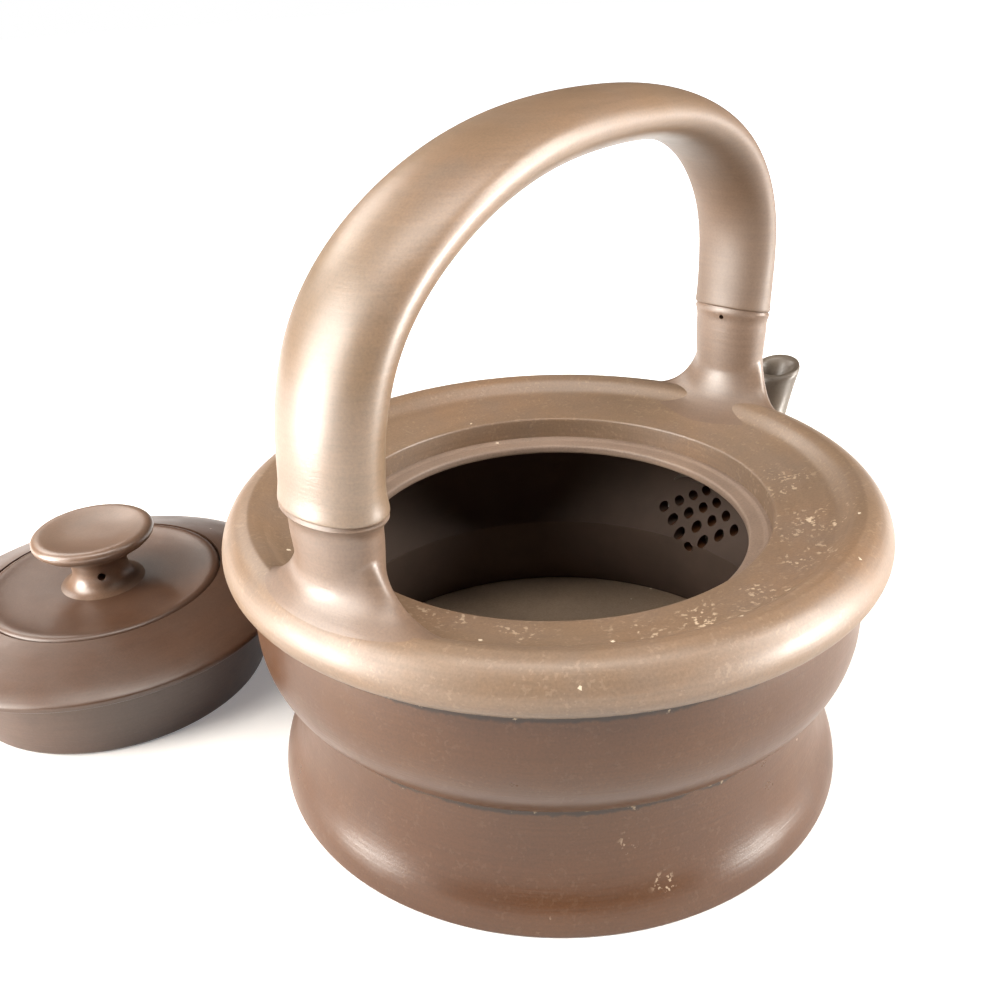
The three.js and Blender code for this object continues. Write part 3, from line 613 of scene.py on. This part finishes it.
# %% Foot wall and base slab
WALL = 3.6                      # mm, thickness of the pot's wall
SLAB_TOP = 4.5
LOWER_JOINT_Z = 25.0
UPPER_JOINT_Z = 52.8
FOOT = flowing([(62, 0), (61.75, 1.6), (61.0, 4.4), (59.2, 8.2), (57.6, 13), (56.55, 19), (56.05, 25)], 26)
foot = spun("foot_wall_clay", rounded([
    (60.5, 0, 0.2), (61.95, 0, 0.5), *FOOT[1:-1],
    (FOOT[-1][0], LOWER_JOINT_Z, 0.35), (FOOT[-1][0] - WALL, LOWER_JOINT_Z, 0.3),
    *[(r - WALL, z) for r, z in FOOT[5:-1][::-1]],
    (57.6, SLAB_TOP, 0.3), (60.5, SLAB_TOP),
]))
slab = spun("base_slab_clay", rounded([
    (0, 0), (60.1, 0, 0.4), (60.1, SLAB_TOP, 0.3), (0, SLAB_TOP),
]), steps=200)
print(f"the waist is {2 * FOOT[-1][0]:.1f} mm across")

# %% [markdown]
# ## The middle band
#
# The belly of the pot is a second ring. It stands a hair proud of the foot where they meet, swells, and
# draws in again under the shoulder.

# %% Middle band
BAND = flowing([
    (56.2, 25), (59.6, 28.2), (62.1, 32.2), (63.3, 37.2), (63.3, 42.5), (62.5, 48), (61.5, 52.8),
], 30)
band = spun("middle_band_clay", rounded([
    (BAND[0][0], LOWER_JOINT_Z, 0.4), *BAND[1:-1],
    (BAND[-1][0], UPPER_JOINT_Z, 0.3), (BAND[-1][0] - WALL, UPPER_JOINT_Z, 0.3),
    *[(r - WALL, z) for r, z in BAND[1:-1][::-1]],
    (BAND[0][0] - WALL, LOWER_JOINT_Z, 0.2),
]))
print(f"the belly is {2 * BAND[:, 0].max():.1f} mm across")

# %% [markdown]
# ## The strainer
#
# Behind the spout the potter pierces the wall with a hollow needle from outside, while the clay is
# leather-hard. That gives a diamond of small round holes and keeps the leaves in the pot. The holes
# are cut with one tool mesh of sixteen pins. They cross the lower joint, so both walls are cut.

# %% Strainer holes
STRAINER_Z = 30.4
HALF_STEP, ROW_STEP = 3.5, 2.2      # mm: half the way to the next hole in a row, and the way between rows
HOLE_RADIUS = 1.3
HOLES = [
    ((2 * i - count + 1) * HALF_STEP, STRAINER_Z + (row - 3) * ROW_STEP)
    for row, count in enumerate((1, 2, 3, 4, 3, 2, 1))
    for i in range(count)
]
for wall in (foot, band):
    cut_away(wall, pins("piercing_pins", HOLES, 45, 70, HOLE_RADIUS))
placed(foot, "foot_wall", body_clay)
placed(slab, "base_plate", inner_clay)
placed(band, "middle_band", body_clay)
print(len(HOLES), "strainer holes")

# %% [markdown]
# ## The shoulder
#
# This is the face that the eye rests on: a shallow dish that rises from the mouth to a soft crease, and
# then rolls over a thick rim. The outline is a smooth line through measured points. The mouth's edge is
# rubbed round, and the roll ends in a lip that stands out over the band, so it throws shade below, which
# painted shade lines on its underside and on the band make deeper.

# %% Shoulder
MOUTH_RADIUS = 45.1
DISH = flowing([
    (45.9, 57.72), (48.5, 58.0), (52.5, 58.75), (55.4, 59.45), (57.0, 60.0), (58.2, 61.0), (59.7, 62.3),
    (61.9, 62.88),
], 44)
ROLL = flowing([
    (61.9, 62.88), (64.2, 62.15), (66.3, 60.3), (67.5, 57.9), (67.75, 55.6), (67.2, 54.2), (66.1, 53.3),
    (64.5, 52.9),
], 36)
shoulder = spun("shoulder_clay", rounded([
    (64.3, UPPER_JOINT_Z, 0.2), *ROLL[1:-1][::-1], *DISH[1:][::-1],
    (MOUTH_RADIUS, 57.65, 1.3), (MOUTH_RADIUS, UPPER_JOINT_Z),
    (50.5, UPPER_JOINT_Z, 0.2), (52.6, 54.6, 0.8), (56.0, 54.9, 0.8), (57.5, UPPER_JOINT_Z, 0.2),
]), steps=300)
placed(shoulder, "shoulder_ring", shoulder_clay)

# %% [markdown]
# ## The ledge
#
# The lid rests on a flat ring inside the mouth. It is luted under the shoulder's edge, and it steps down
# once towards the throat. Rubbing by the lid has left its inner edge round.

# %% Ledge
THROAT_RADIUS = 40.5
ledge = spun("mouth_ledge_clay", rounded([
    (49.95, UPPER_JOINT_Z, 0.2),
    (44.3, UPPER_JOINT_Z, 0.15),
    (43.4, 52.35, 0.35),
    (THROAT_RADIUS, 52.3, 0.7),
    (THROAT_RADIUS, 50.25, 0.7),
    (49.0, 50.25, 0.5),
    (49.95, 51.3, 0.3),
]), steps=260)
placed(ledge, "mouth_ledge", ledge_clay)

# %% [markdown]
# ## The handle
#
# The arch is one hollow roll of clay, bent over a form. Its section is an oval that is widest near the
# top of the rear leg. At both ends it meets its root in a thin ridge, like a node on bamboo. The middle
# line is a smooth line through measured points, and each ring stands square to it. The rings turn level
# towards the joints, so that both sides of a joint share one plane.

# %% Handle sizes
ARCH_LINE = flowing([
    (-55.5, 79.1), (-54.5, 92.0), (-49.3, 106.7), (-32.9, 121.6), (-9.3, 130.3), (14.0, 132.3),
    (40.1, 129.1), (57.3, 119.4), (65.9, 105.0), (67.1, 95.0), (66.6, 83.4),
], 121)
ARCH_SPAN = distances(ARCH_LINE)
ARCH_LENGTH = float(ARCH_SPAN[-1])
SPOUT_JOINT_TILT = math.tan(math.radians(12))
# Half the section's thickness and width, by the share of the arch's length
THICK = flowing([(0, 6.9), (0.25, 6.1), (0.5, 5.5), (0.75, 4.9), (1, 6.0)], 60)
WIDE = flowing([(0, 11.2), (0.25, 12.1), (0.5, 11.4), (0.75, 10.4), (1, 9.4)], 60)
RIDGES = (0.5, 0.15)        # mm that the ridge stands out at the rear joint and at the spout's
RIDGE_REACH = 2.4           # mm along the arch
LEVELLING = 14              # mm over which the rings turn level towards a joint
ARCH_SIDES = 96
print(f"the arch's middle line is {ARCH_LENGTH:.0f} mm long")


# %% Rings of the arch
def arch_ring(distance, grow, ridges=RIDGES):
    """A ring of the arch at a distance along it. grow moves its skin out, or in when negative."""
    x, z = point_along(ARCH_LINE, ARCH_SPAN, distance)
    step = 0.4
    ahead = point_along(ARCH_LINE, ARCH_SPAN, min(distance + step, ARCH_LENGTH))
    behind = point_along(ARCH_LINE, ARCH_SPAN, max(distance - step, 0))
    tangent = Vector((ahead[0] - behind[0], 0, ahead[1] - behind[1])).normalized()
    from_end = min(distance, ARCH_LENGTH - distance)
    level = max(0.0, 1 - from_end / LEVELLING)
    upright = Vector((0, 0, 1 if distance < ARCH_LENGTH / 2 else -1))
    tangent = (tangent * (1 - level) + upright * level).normalized()
    outwards = Vector((-tangent.z, 0, tangent.x))
    share = distance / ARCH_LENGTH
    swell = (ridges[0] if share < 0.5 else ridges[1]) * math.exp(-(from_end / RIDGE_REACH) ** 2) + grow
    thick = read_off(THICK, share) + swell
    wide = read_off(WIDE, share) + swell
    shear = SPOUT_JOINT_TILT * level if share > 0.5 else 0
    ring = []
    for angle in turns(ARCH_SIDES):
        p = Vector((x, 0, z)) + outwards * thick * math.cos(angle)
        p.y = wide * math.sin(angle)
        p.z -= shear * (p.x - x)
        ring.append(p)
    return ring


def edge_drop(from_edge):
    """How far the skin is rounded away near a luted edge, in millimetres."""
    return 0.45 * max(0.0, 1 - from_edge / 0.4) ** 2


top_ring = arch_ring(ARCH_LENGTH / 2, 0)
print(f"half-way, the arch is {top_ring[ARCH_SIDES // 4].y * 2:.1f} mm wide")

# %% [markdown]
# A roll of this thickness would crack in the fire if it were solid, so it is hollow, and the mesh has an
# inner skin too. The rings lie closer together at both ends, where the ridge and the rounded edge are.

# %% Handle arch
HANDLE_WALL = 2.7
END_STEPS = [0, 0.12, 0.25, 0.4, 0.7, 1.1, 1.7, 2.5, 3.5]
stations = END_STEPS + list(np.linspace(5, ARCH_LENGTH - 5, 84)) + [ARCH_LENGTH - d for d in END_STEPS[::-1]]
outside = [arch_ring(d, -edge_drop(min(d, ARCH_LENGTH - d))) for d in stations]
inside = [arch_ring(d, -HANDLE_WALL, ridges=(0, 0)) for d in stations[::3] + [stations[-1]]]
arch = skinned("handle_arch_clay", outside + inside[::-1])
placed(arch, "handle_arch", handle_clay)

# %% [markdown]
# ## The handle's roots
#
# Each root is a hollow stalk that was luted to the shoulder and then smoothed with a finger, so it has no
# corner at its foot: the stalk turns outwards and runs out on the shoulder. A lofted cone would leave a
# crease there. Instead each line goes down the stalk and then follows a curve that is drawn by two
# handles. It leaves the stalk straight down, and it arrives along the shoulder's own slope. Towards the
# mouth it ends short, and along the rim it runs out far, as the finger has drawn the clay.

# %% Where a root ends
SKIN = np.array(sorted([(r, z) for r, z in np.vstack([DISH, ROLL]) if z > 55.6]))
SUNK = 0.05         # mm that a root's edge lies under the shoulder's skin, so that no gap shows
ROLL_EDGE = 67.6    # mm, almost the rim's full radius
SLOPE_STEP = 2      # mm to both sides of a point, to measure the slope there


def shoulder_height(r):
    """Height of the shoulder's upper skin at a radius."""
    return read_off(SKIN, r)


def shoulder_slope(r):
    """Rise of the shoulder for each millimetre outwards, kept between a steep fall and a gentle rise."""
    rise = shoulder_height(min(r + SLOPE_STEP, ROLL_EDGE)) - shoulder_height(r - SLOPE_STEP)
    return max(-1.6, min(0.25, rise / (2 * SLOPE_STEP)))


def end_of_root(reach, turn):
    """The row of a reach table at a turn, in degrees, from the outside of the leg to its inside."""
    i = min(int(np.searchsorted(reach[:, 0], turn, side="right")) - 1, len(reach) - 2)
    share = (turn - reach[i, 0]) / (reach[i + 1, 0] - reach[i, 0])
    return reach[i] * (1 - share) + reach[i + 1] * share


print(f"the shoulder's top is at {SKIN[:, 1].max():.2f} mm")

# %% [markdown]
# A root is drawn as 160 lines that run down it. The upper part of a line is on the stalk, with the ridge
# at the joint and a slight waist below it. The rest is the curve that lays the line on the shoulder.

# %% Lines down a root
ROOT_SIDES, ROOT_ROWS = 160, 44
STALK_SHARE = 0.4       # of the rows are on the stalk, and the rest on its foot
SHORTEST_STALK = 5.0    # mm


def root_line(angle, leg_x, joint_z, tilt, thick, wide, lip, waist, reach, left_share):
    """One line down a root, from its joint to where it runs out on the shoulder.

    reach lists the turn, the radius and the distance sideways at which the root ends, how hard the line
    bends, and how high above its end it leaves the stalk. left_share is how far the root spreads on its
    +Y side, as a share of the other side."""
    away = math.copysign(1, leg_x)
    c, s = math.cos(angle), math.sin(angle)     # c points away from the pot's axis, and s to the side
    _, r, sideways, bend, above = end_of_root(reach, math.degrees(math.acos(max(-1.0, min(1.0, c)))))
    if s > 0:
        sideways = mixed(wide * s, sideways, left_share)
    turn = math.copysign(sideways, s) / abs(leg_x)
    target = Vector((away * r * math.cos(turn), r * math.sin(turn), shoulder_height(r) - SUNK))
    low = Vector((leg_x + away * c * (thick - waist[0]), s * (wide - waist[1]), 0))
    inwards = Vector((low.x - target.x, low.y - target.y, 0))
    gap = inwards.length
    inwards.normalize()
    overhang = inwards.dot(Vector((target.x, target.y, 0)).normalized())
    low.z = min(joint_z - SHORTEST_STALK, target.z + above)
    handle_end = target + (inwards + Vector((0, 0, shoulder_slope(r) * overhang))) * gap * bend
    # Where the stalk overhangs the rim, the line comes down steeply on the roll's outer face
    steep = smooth_step((c - 0.5) / 0.4) * smooth_step(overhang * gap / 3)
    plumb = target + inwards * gap * 0.12 + Vector((0, 0, (low.z - target.z) * 0.4))
    handle_end = handle_end * (1 - steep) + plumb * steep
    # A long line leans outwards at once, a short one first goes straight down
    lean = max(0.0, min(0.2, (gap - 6) / 45))
    handle_start = low - inwards * gap * lean
    handle_start.z = mixed(low.z, target.z, 0.62)
    line = []
    for row in range(ROOT_ROWS):
        t = row / (ROOT_ROWS - 1)
        if t < STALK_SHARE:
            z = mixed(joint_z, low.z, t / STALK_SHARE)
            drop = joint_z - z
            swell = lip * math.exp(-(drop / 1.3) ** 4) - edge_drop(drop)
            draw_in = smooth_step(drop / 3.2)
            p = Vector((leg_x + away * c * (thick + swell - waist[0] * draw_in),
                        s * (wide + swell - waist[1] * draw_in), z))
        else:
            p = bent(low, handle_start, handle_end, target, (t - STALK_SHARE) / (1 - STALK_SHARE))
        # The tilt of the joint fades out within 10 mm
        p.z -= tilt * max(0.0, 1 - (joint_z - p.z) / 10) * (p.x - leg_x)
        line.append(p)
    return line


print("lines and rows of a root:", ROOT_SIDES, ROOT_ROWS)

# %% [markdown]
# Lines that are each right by themselves still leave ripples between them, as dry fingers would, and a
# wet finger takes them away. So the rings are evened out round the leg, and laid back on the shoulder.
# The bore inside ends in the shoulder's clay, out of sight.

# %% Rings of a root
def root_rings(**size):
    """Rings of a root, evened out round the leg and laid on the shoulder."""
    lines = [root_line(angle, **size) for angle in turns(ROOT_SIDES)]
    rings = np.array([[tuple(line[row]) for line in lines] for row in range(ROOT_ROWS)])
    # A wet finger leaves no ridge: below the stalk the rings are smoothed, up to 110 times
    for row in range(ROOT_ROWS):
        for _ in range(int(110 * smooth_step((row / (ROOT_ROWS - 1) - 0.14) / 0.3))):
            rings[row] = 0.5 * rings[row] + 0.25 * (np.roll(rings[row], 1, 0) + np.roll(rings[row], -1, 0))
    # The lowest ring goes back on the shoulder, and the rings above it follow
    lift = np.array([shoulder_height(math.hypot(p[0], p[1])) - SUNK - p[2] for p in rings[-1]])
    for row in range(ROOT_ROWS):
        rings[row, :, 2] += lift * (row / (ROOT_ROWS - 1)) ** 5
    return [[Vector(p) for p in ring] for ring in rings]


BORE_FOOT_Z = 58.2      # mm, inside the shoulder's clay
BORE_FOOT_REACH = 64.0  # mm towards the rim, well inside the roll
BORE_TURN = 14          # mm below the joint: from here the bore under the roll's edge narrows to its foot


def root(name, bore, **size):
    """A hollow root: its outer skin, and a straight bore down into its foot."""
    rings = root_rings(**size)
    x, z_top = size["leg_x"], size["joint_z"]
    # The skin turns in under its own edge before it meets the bore
    under = [Vector((mixed(p.x, x, 0.06), mixed(p.y, 0, 0.06), p.z - 0.3)) for p in rings[-1]]
    bore_rings = []
    for z in (BORE_FOOT_Z, z_top - BORE_TURN, z_top):
        ring = []
        for angle in turns(ROOT_SIDES):
            px = x + math.copysign(1, x) * bore[0] * math.cos(angle)
            if z == BORE_FOOT_Z:
                px = max(-BORE_FOOT_REACH, min(BORE_FOOT_REACH, px))
            tilt = size["tilt"] * (px - x) if z == z_top else 0
            ring.append(Vector((px, bore[1] * math.sin(angle), z - tilt)))
        bore_rings.append(ring)
    return skinned(name, rings + [under] + bore_rings)


print("the bores end at", BORE_FOOT_Z, "mm, inside the shoulder")

# %% [markdown]
# The two roots are not alike. The rear one spreads far along the rim on the near side and little on the
# other, and the one next to the spout stands right over the roll and comes down on it steeply. So each
# has its own table of where it ends, turn by turn, read from the photograph.

# %% Both roots
REAR_REACH = flowing([
    (0, 65.6, 0, 0.5, 7.5), (25, 65.6, 5.5, 0.5, 7.5), (50, 65.2, 12, 0.5, 8), (68, 64.6, 18, 0.5, 9),
    (82, 63.0, 24.0, 0.5, 10), (94, 60.8, 27.0, 0.48, 10), (106, 57.6, 23.5, 0.48, 9.5),
    (120, 53.6, 15.5, 0.5, 8.5), (136, 49.8, 10, 0.5, 8.5), (155, 47.0, 5, 0.55, 9), (180, 45.7, 0, 0.55, 9),
], 60)
rear_root = root(
    "rear_root_clay", bore=(3.6, 7.9), leg_x=-55.5, joint_z=79.1, tilt=0, thick=6.9, wide=11.2,
    lip=0.5, waist=(0.6, 1.1), reach=REAR_REACH, left_share=0.35,
)
placed(rear_root, "rear_handle_root", root_clay)
SPOUT_REACH = flowing([
    (0, 67.5, 0, 0.5, 11), (25, 67.4, 6.8, 0.5, 11), (50, 66.4, 14.5, 0.5, 10.5), (75, 63.3, 20.5, 0.5, 10),
    (95, 59.5, 19.5, 0.5, 10.5), (115, 55.8, 15.5, 0.5, 10.5), (138, 52.6, 10, 0.5, 10.5),
    (160, 51.0, 4.8, 0.5, 10.5), (180, 50.5, 0, 0.5, 10.5),
], 60)
spout_root = root(
    "spout_root_clay", bore=(3.0, 6.4), leg_x=66.6, joint_z=83.4, tilt=SPOUT_JOINT_TILT, thick=6.0, wide=9.4,
    lip=0.15, waist=(0.35, 0.4), reach=SPOUT_REACH, left_share=1.0,
)

# %% [markdown]
# A closed hollow would burst in the kiln, so the potter pricks a hole under the joint. It is a
# millimetre wide and faces the mouth.

# %% Vent in the handle
cut_away(spout_root, pins("vent_pin", [(-0.7, 82.3)], 55, 65, 0.55))
placed(spout_root, "spout_handle_root", root_clay)

# %% [markdown]
# ## The spout
#
# The spout is a bent cone, cut to the wall and luted on. It leaves the wall almost level, turns up close
# to the rim and opens a little at the lip, which leans back so that the stream breaks off cleanly.
# It is skinned from oval rings, whose planes turn from upright to the slant of the lip.

# %% Rings of the spout
SPOUT_LINE = flowing([(52.4, 29.4), (60.4, 30.9), (67, 33.4), (79.1, 41.6), (87, 52.2), (91.0, 61.5)], 60)
SPOUT_SPAN = distances(SPOUT_LINE)
# Half the spout's width and height, by the share of its length
SPOUT_WIDE = flowing([
    (0, 15), (0.18, 12.2), (0.4, 8.7), (0.65, 6.2), (0.85, 5.5), (0.95, 5.8), (1, 6.25),
], 60)
SPOUT_HIGH = flowing([
    (0, 12.5), (0.18, 10.4), (0.4, 7.9), (0.65, 6.0), (0.85, 5.5), (0.95, 5.8), (1, 6.25),
], 60)
SPOUT_SIDES = 64
SPOUT_WALL, LIP_THINNER = 2.2, 0.5      # mm
UPRIGHT, LIP_SLANT = 90, 195            # degrees that the rings turn through


def spout_ring(share, inset):
    """An oval ring of the spout at a share of its length, pulled in by an inset."""
    x, z = point_along(SPOUT_LINE, SPOUT_SPAN, share * SPOUT_SPAN[-1])
    lean = math.radians(mixed(UPRIGHT, LIP_SLANT, min(1.0, share * 1.12) ** 0.92))
    wide = read_off(SPOUT_WIDE, share) - inset
    high = read_off(SPOUT_HIGH, share) - inset
    ring = []
    for angle in turns(SPOUT_SIDES):
        c = math.cos(angle) * high
        ring.append(Vector((x + c * math.cos(lean), math.sin(angle) * wide, z + c * math.sin(lean))))
    return ring


# The rings are closer at the lip, where the edge is rounded and the wall is thinner
skin_shares = [*np.linspace(0.2, 0.97, 44), 0.98, 0.988, 0.994, 0.998, 1.0]
skin = [spout_ring(s, 0.7 * max(0.0, (s - 0.975) / 0.025) ** 2) for s in skin_shares]
bore_shares = [1.0, 0.99, 0.97, 0.9, 0.8, 0.7, 0.6, 0.5, 0.4, 0.3, 0.2]
bore = [spout_ring(s, SPOUT_WALL - LIP_THINNER * max(0.0, (s - 0.98) / 0.02)) for s in bore_shares]
print(f"the spout is {SPOUT_SPAN[-1]:.0f} mm long, its wall {SPOUT_WALL} mm thick")

# %% [markdown]
# The spout's foot spreads out on the wall, as the potter has drawn clay over the joint. Every line of
# the skin bends outwards and lands on an oval on the wall. The oval is kept narrow, and is drawn in a
# little more at the waist, because the wall falls back there and a wide foot would end in points.

# %% Spout's foot
LANDING_Z, LANDING_HALF_HEIGHT, LANDING_HALF_WIDTH = 30.2, 13.6, 13.2       # mm, of the oval
CLEARANCE = -0.4        # mm: the foot's edge lies just inside the wall's skin, so that no gap shows


def on_wall(p):
    """Moves a point straight away from the axis until it is just inside the wall's outer skin."""
    line = FOOT if p.z < LOWER_JOINT_Z else BAND
    r = float(np.interp(p.z, line[:, 1], line[:, 0])) + CLEARANCE
    angle = math.atan2(p.y, p.x)
    return Vector((r * math.cos(angle), r * math.sin(angle), p.z))


landing = []
for angle in turns(SPOUT_SIDES):
    z = LANDING_Z + LANDING_HALF_HEIGHT * math.cos(angle)
    narrower = 1 - 0.04 * math.exp(-((z - 26.5) / 3.2) ** 2)
    landing.append(on_wall(Vector((60, LANDING_HALF_WIDTH * narrower * math.sin(angle), z))))
fillet = []
for t in np.linspace(0, 1, 13)[:-1]:
    fillet.append([
        bent(end, mixed(end, start, 0.35) + Vector((0.2, 0, 0)), start + (start - following) * 0.9, start, t)
        for end, start, following in zip(landing, skin[0], skin[4])
    ])
# The bore opens a fifth of the way inside that oval, round the strainer
mouth_of_bore = [on_wall(mixed(end, Vector((60, 0, STRAINER_Z)), 0.2)) for end in landing]
spout = skinned("spout_clay", fillet + skin + bore + [mouth_of_bore])
placed(spout, "spout", spout_clay)

# %% [markdown]
# ## The lid
#
# The lid stands on the table on the wall of its own flange. It is built like the pot: a flared skirt, a
# plate set into it with a soft raised edge, the flange below, and a knob luted on the plate.

# %% Lid flange and skirt
LID = (-54.6, 101.1)        # mm, where its axis stands
LID_SEAT_Z = 18.4           # the skirt's underside, which rests on the ledge when the lid is on
flange = spun("lid_flange_clay", rounded([
    (33.0, 0, 0.9), (36.4, 0, 1.3), (38.3, 9.2, 4), (39.7, LID_SEAT_Z, 0.1),
    (36.4, LID_SEAT_Z, 0.1), (34.9, 9.2, 4),
]), LID, steps=200)
SKIRT = flowing([
    (44.2, 20.1), (42.6, 21.0), (39.5, 22.3), (36.0, 23.5), (32.5, 24.7), (29.6, 25.6), (28.6, 25.9),
], 24)
skirt = spun("lid_skirt_clay", rounded([
    (44.55, LID_SEAT_Z, 0.5), (44.6, 19.7, 0.6), *SKIRT,
    (28.5, 22.4, 0.1), (24.0, 22.4, 0.4), (24.0, 19.9, 0.5), (34.5, LID_SEAT_Z, 0.5),
]), LID, steps=240)
placed(flange, "lid_flange", lid_clay)
placed(skirt, "lid_skirt", lid_clay)

# %% [markdown]
# The plate is a disc that drops into the skirt. Its edge stands up in a soft bead, which hides the
# joint and catches a thin ring of light. A hole in its middle opens the hollow knob to the pot.

# %% Lid plate
PLATE_UNDERSIDE, PLATE_TOP, PLATE_HOLE = 22.45, 25.4, 1.6
PLATE = flowing([
    (28.1, 25.5), (27.6, 26.1), (26.6, 26.3), (25.0, 26.1), (22.0, 25.75), (17.0, 25.5), (12.5, PLATE_TOP),
], 26)
plate = spun("lid_plate_clay", rounded([
    (28.15, PLATE_UNDERSIDE, 0.3), *PLATE, (PLATE_HOLE, PLATE_TOP), (PLATE_HOLE, PLATE_UNDERSIDE, 0.3),
]), LID, steps=200)
placed(plate, "lid_plate", lid_clay)

# %% [markdown]
# The knob is a dished button on a waisted neck, turned in one piece. Tea only pours while air can get in,
# so a hole is pricked through the waist into the neck's hollow, which is open to the pot.

# %% Knob
NECK = flowing([
    (10.0, 25.42), (8.4, 26.0), (7.1, 27.5), (6.6, 29.6), (6.9, 31.8), (8.6, 33.9), (11.2, 35.3),
    (13.2, 36.5),
], 34)
VENT_TURN = 65      # degrees: the hole looks at the camera
BUTTON = flowing([
    (13.2, 36.5), (14.15, 37.6), (14.35, 38.5), (13.9, 39.35), (12.9, 39.75), (11.4, 39.65), (8.0, 39.15),
    (4.0, 38.85), (0, 38.8),
], 34)
knob = spun("knob_clay", rounded([
    (PLATE_HOLE, 25.42), *NECK, *BUTTON[1:-1], (0, 38.8), (0, 32.2), (PLATE_HOLE, 31.2),
]), LID, steps=144)
vent = pins("knob_vent_pin", [(0, 29.6)], -12, 0, 1.0)
vent.data.transform(Matrix.Rotation(math.radians(VENT_TURN), 4, "Z"))
vent.data.transform(Matrix.Translation((LID[0] * MM, LID[1] * MM, 0)))
cut_away(knob, vent)
placed(knob, "knob", knob_clay)

# %% [markdown]
# ## Table
#
# The pot stands on a sweep of white paper. White paper throws so much light back up that the dark front
# of the pot would turn pale. So the material asks which ray is looking: the camera, a mirror and clear
# glass see white paper, and the light that it throws back on the clay is that of grey paper.

# %% Table
SHADOW_REACH, WHITE_REACH = 120, 450        # mm off the pot's axis: the glow starts to rise, and is full
bpy.ops.mesh.primitive_plane_add(size=8, location=(0, 0, -0.1 * MM))
table = bpy.context.object
table.name = "table"
paper = bpy.data.materials.new("white_sweep_paper")
paper.use_nodes = True
tree = paper.node_tree
white = tree.nodes["Principled BSDF"]
camera_ray = add(tree, "LightPath", (), "Is Camera Ray")
rays = camera_ray.node.outputs
seen = add(tree, "Math", (camera_ray, rays["Is Glossy Ray"]), operation="ADD")
seen = add(tree, "Math", (seen, rays["Is Transmission Ray"]), operation="ADD", use_clamp=True)
shade = add(tree, "Mix", {0: seen, 6: "#5C5A57", 7: "#F6F5F3"}, **COLOURS)
tree.links.new(shade, white.inputs["Base Color"])
# Beyond the pot's shadow the sweep is lit to plain white
spot = add(tree, "VectorMath", [add(tree, "TexCoord", (), "Object")], "Value", operation="LENGTH")
lift = add(tree, "MapRange", (spot, SHADOW_REACH * MM, WHITE_REACH * MM, 0.2, 1.35), **SMOOTH)
lift = add(tree, "Math", (lift, seen), operation="MULTIPLY")
tree.links.new(lift, white.inputs["Emission Strength"])
# A little blue in it cancels the warm lamps, so the sweep stays neutral
white.inputs["Emission Color"].default_value = linear("#F6FAFF")
white.inputs["Roughness"].default_value = 0.9
white.inputs["Specular IOR Level"].default_value = 0.1
table.data.materials.append(paper)
print("the paper's glow rises from", SHADOW_REACH, "mm to", WHITE_REACH, "mm off the pot's axis")

# %% [markdown]
# ## Light
#
# The photograph looks lit by two large soft boxes, left and right of the sweep: the clay shows a
# broad streak on both flanks and stays darker in the middle. Area lamps do the same here. Two small
# ones stand almost on the table, because the flaring foot only mirrors what is low. One hangs above for
# the shoulder, and one behind draws the handle's edge. The world is dim for the clay and white for the
# camera.

# %% Lamps
AIM = (0, 0, 0.06)      # metres: the middle of the shoulder
WARM = "#FFF9F1"


def soft_box(name, place, size, power):
    """A soft lamp at a place in the camera's ground frame, in metres, aimed at the pot. power is in watts."""
    data = bpy.data.lights.new(name, "AREA")
    data.shape = "RECTANGLE"
    data.size, data.size_y = size
    data.energy = power
    data.color = linear(WARM)[:3]
    lamp = bpy.data.objects.new(name, data)
    bpy.context.scene.collection.objects.link(lamp)
    lamp.location = turned_to_model(place)
    lamp.rotation_euler = (turned_to_model(AIM) - lamp.location).to_track_quat("-Z", "Y").to_euler()
    print(f"{name}: {power} W from {lamp.location.length:.2f} m")


soft_box("left_soft_box", (-0.68, -0.25, 0.37), (0.52, 0.62), 12.5)
soft_box("right_soft_box", (0.88, -0.06, 0.42), (0.34, 0.80), 14)
soft_box("low_left_strip", (-0.67, -0.24, 0.07), (0.24, 0.12), 5.0)
soft_box("low_right_strip", (0.84, -0.24, 0.08), (0.28, 0.14), 8.5)
soft_box("top_soft_box", (0.0, -0.20, 0.98), (0.9, 0.35), 6.5)
soft_box("back_left_soft_box", (-0.63, 0.53, 0.62), (0.5, 0.26), 3.2)

# %% World
world = bpy.data.worlds.new("studio")
bpy.context.scene.world = world
world.use_nodes = True
tree = world.node_tree
glow = tree.nodes["Background"]
dim = add(tree, "MapRange", {"Value": add(tree, "LightPath", (), "Is Camera Ray"), 3: 0.04, 4: 1})
tree.links.new(dim, glow.inputs["Strength"])
glow.inputs["Color"].default_value = linear("#FFFFFF")
bpy.context.scene.view_settings.view_transform = "Standard"
print("the world's strength is 0.04 for the clay and 1 for the camera")
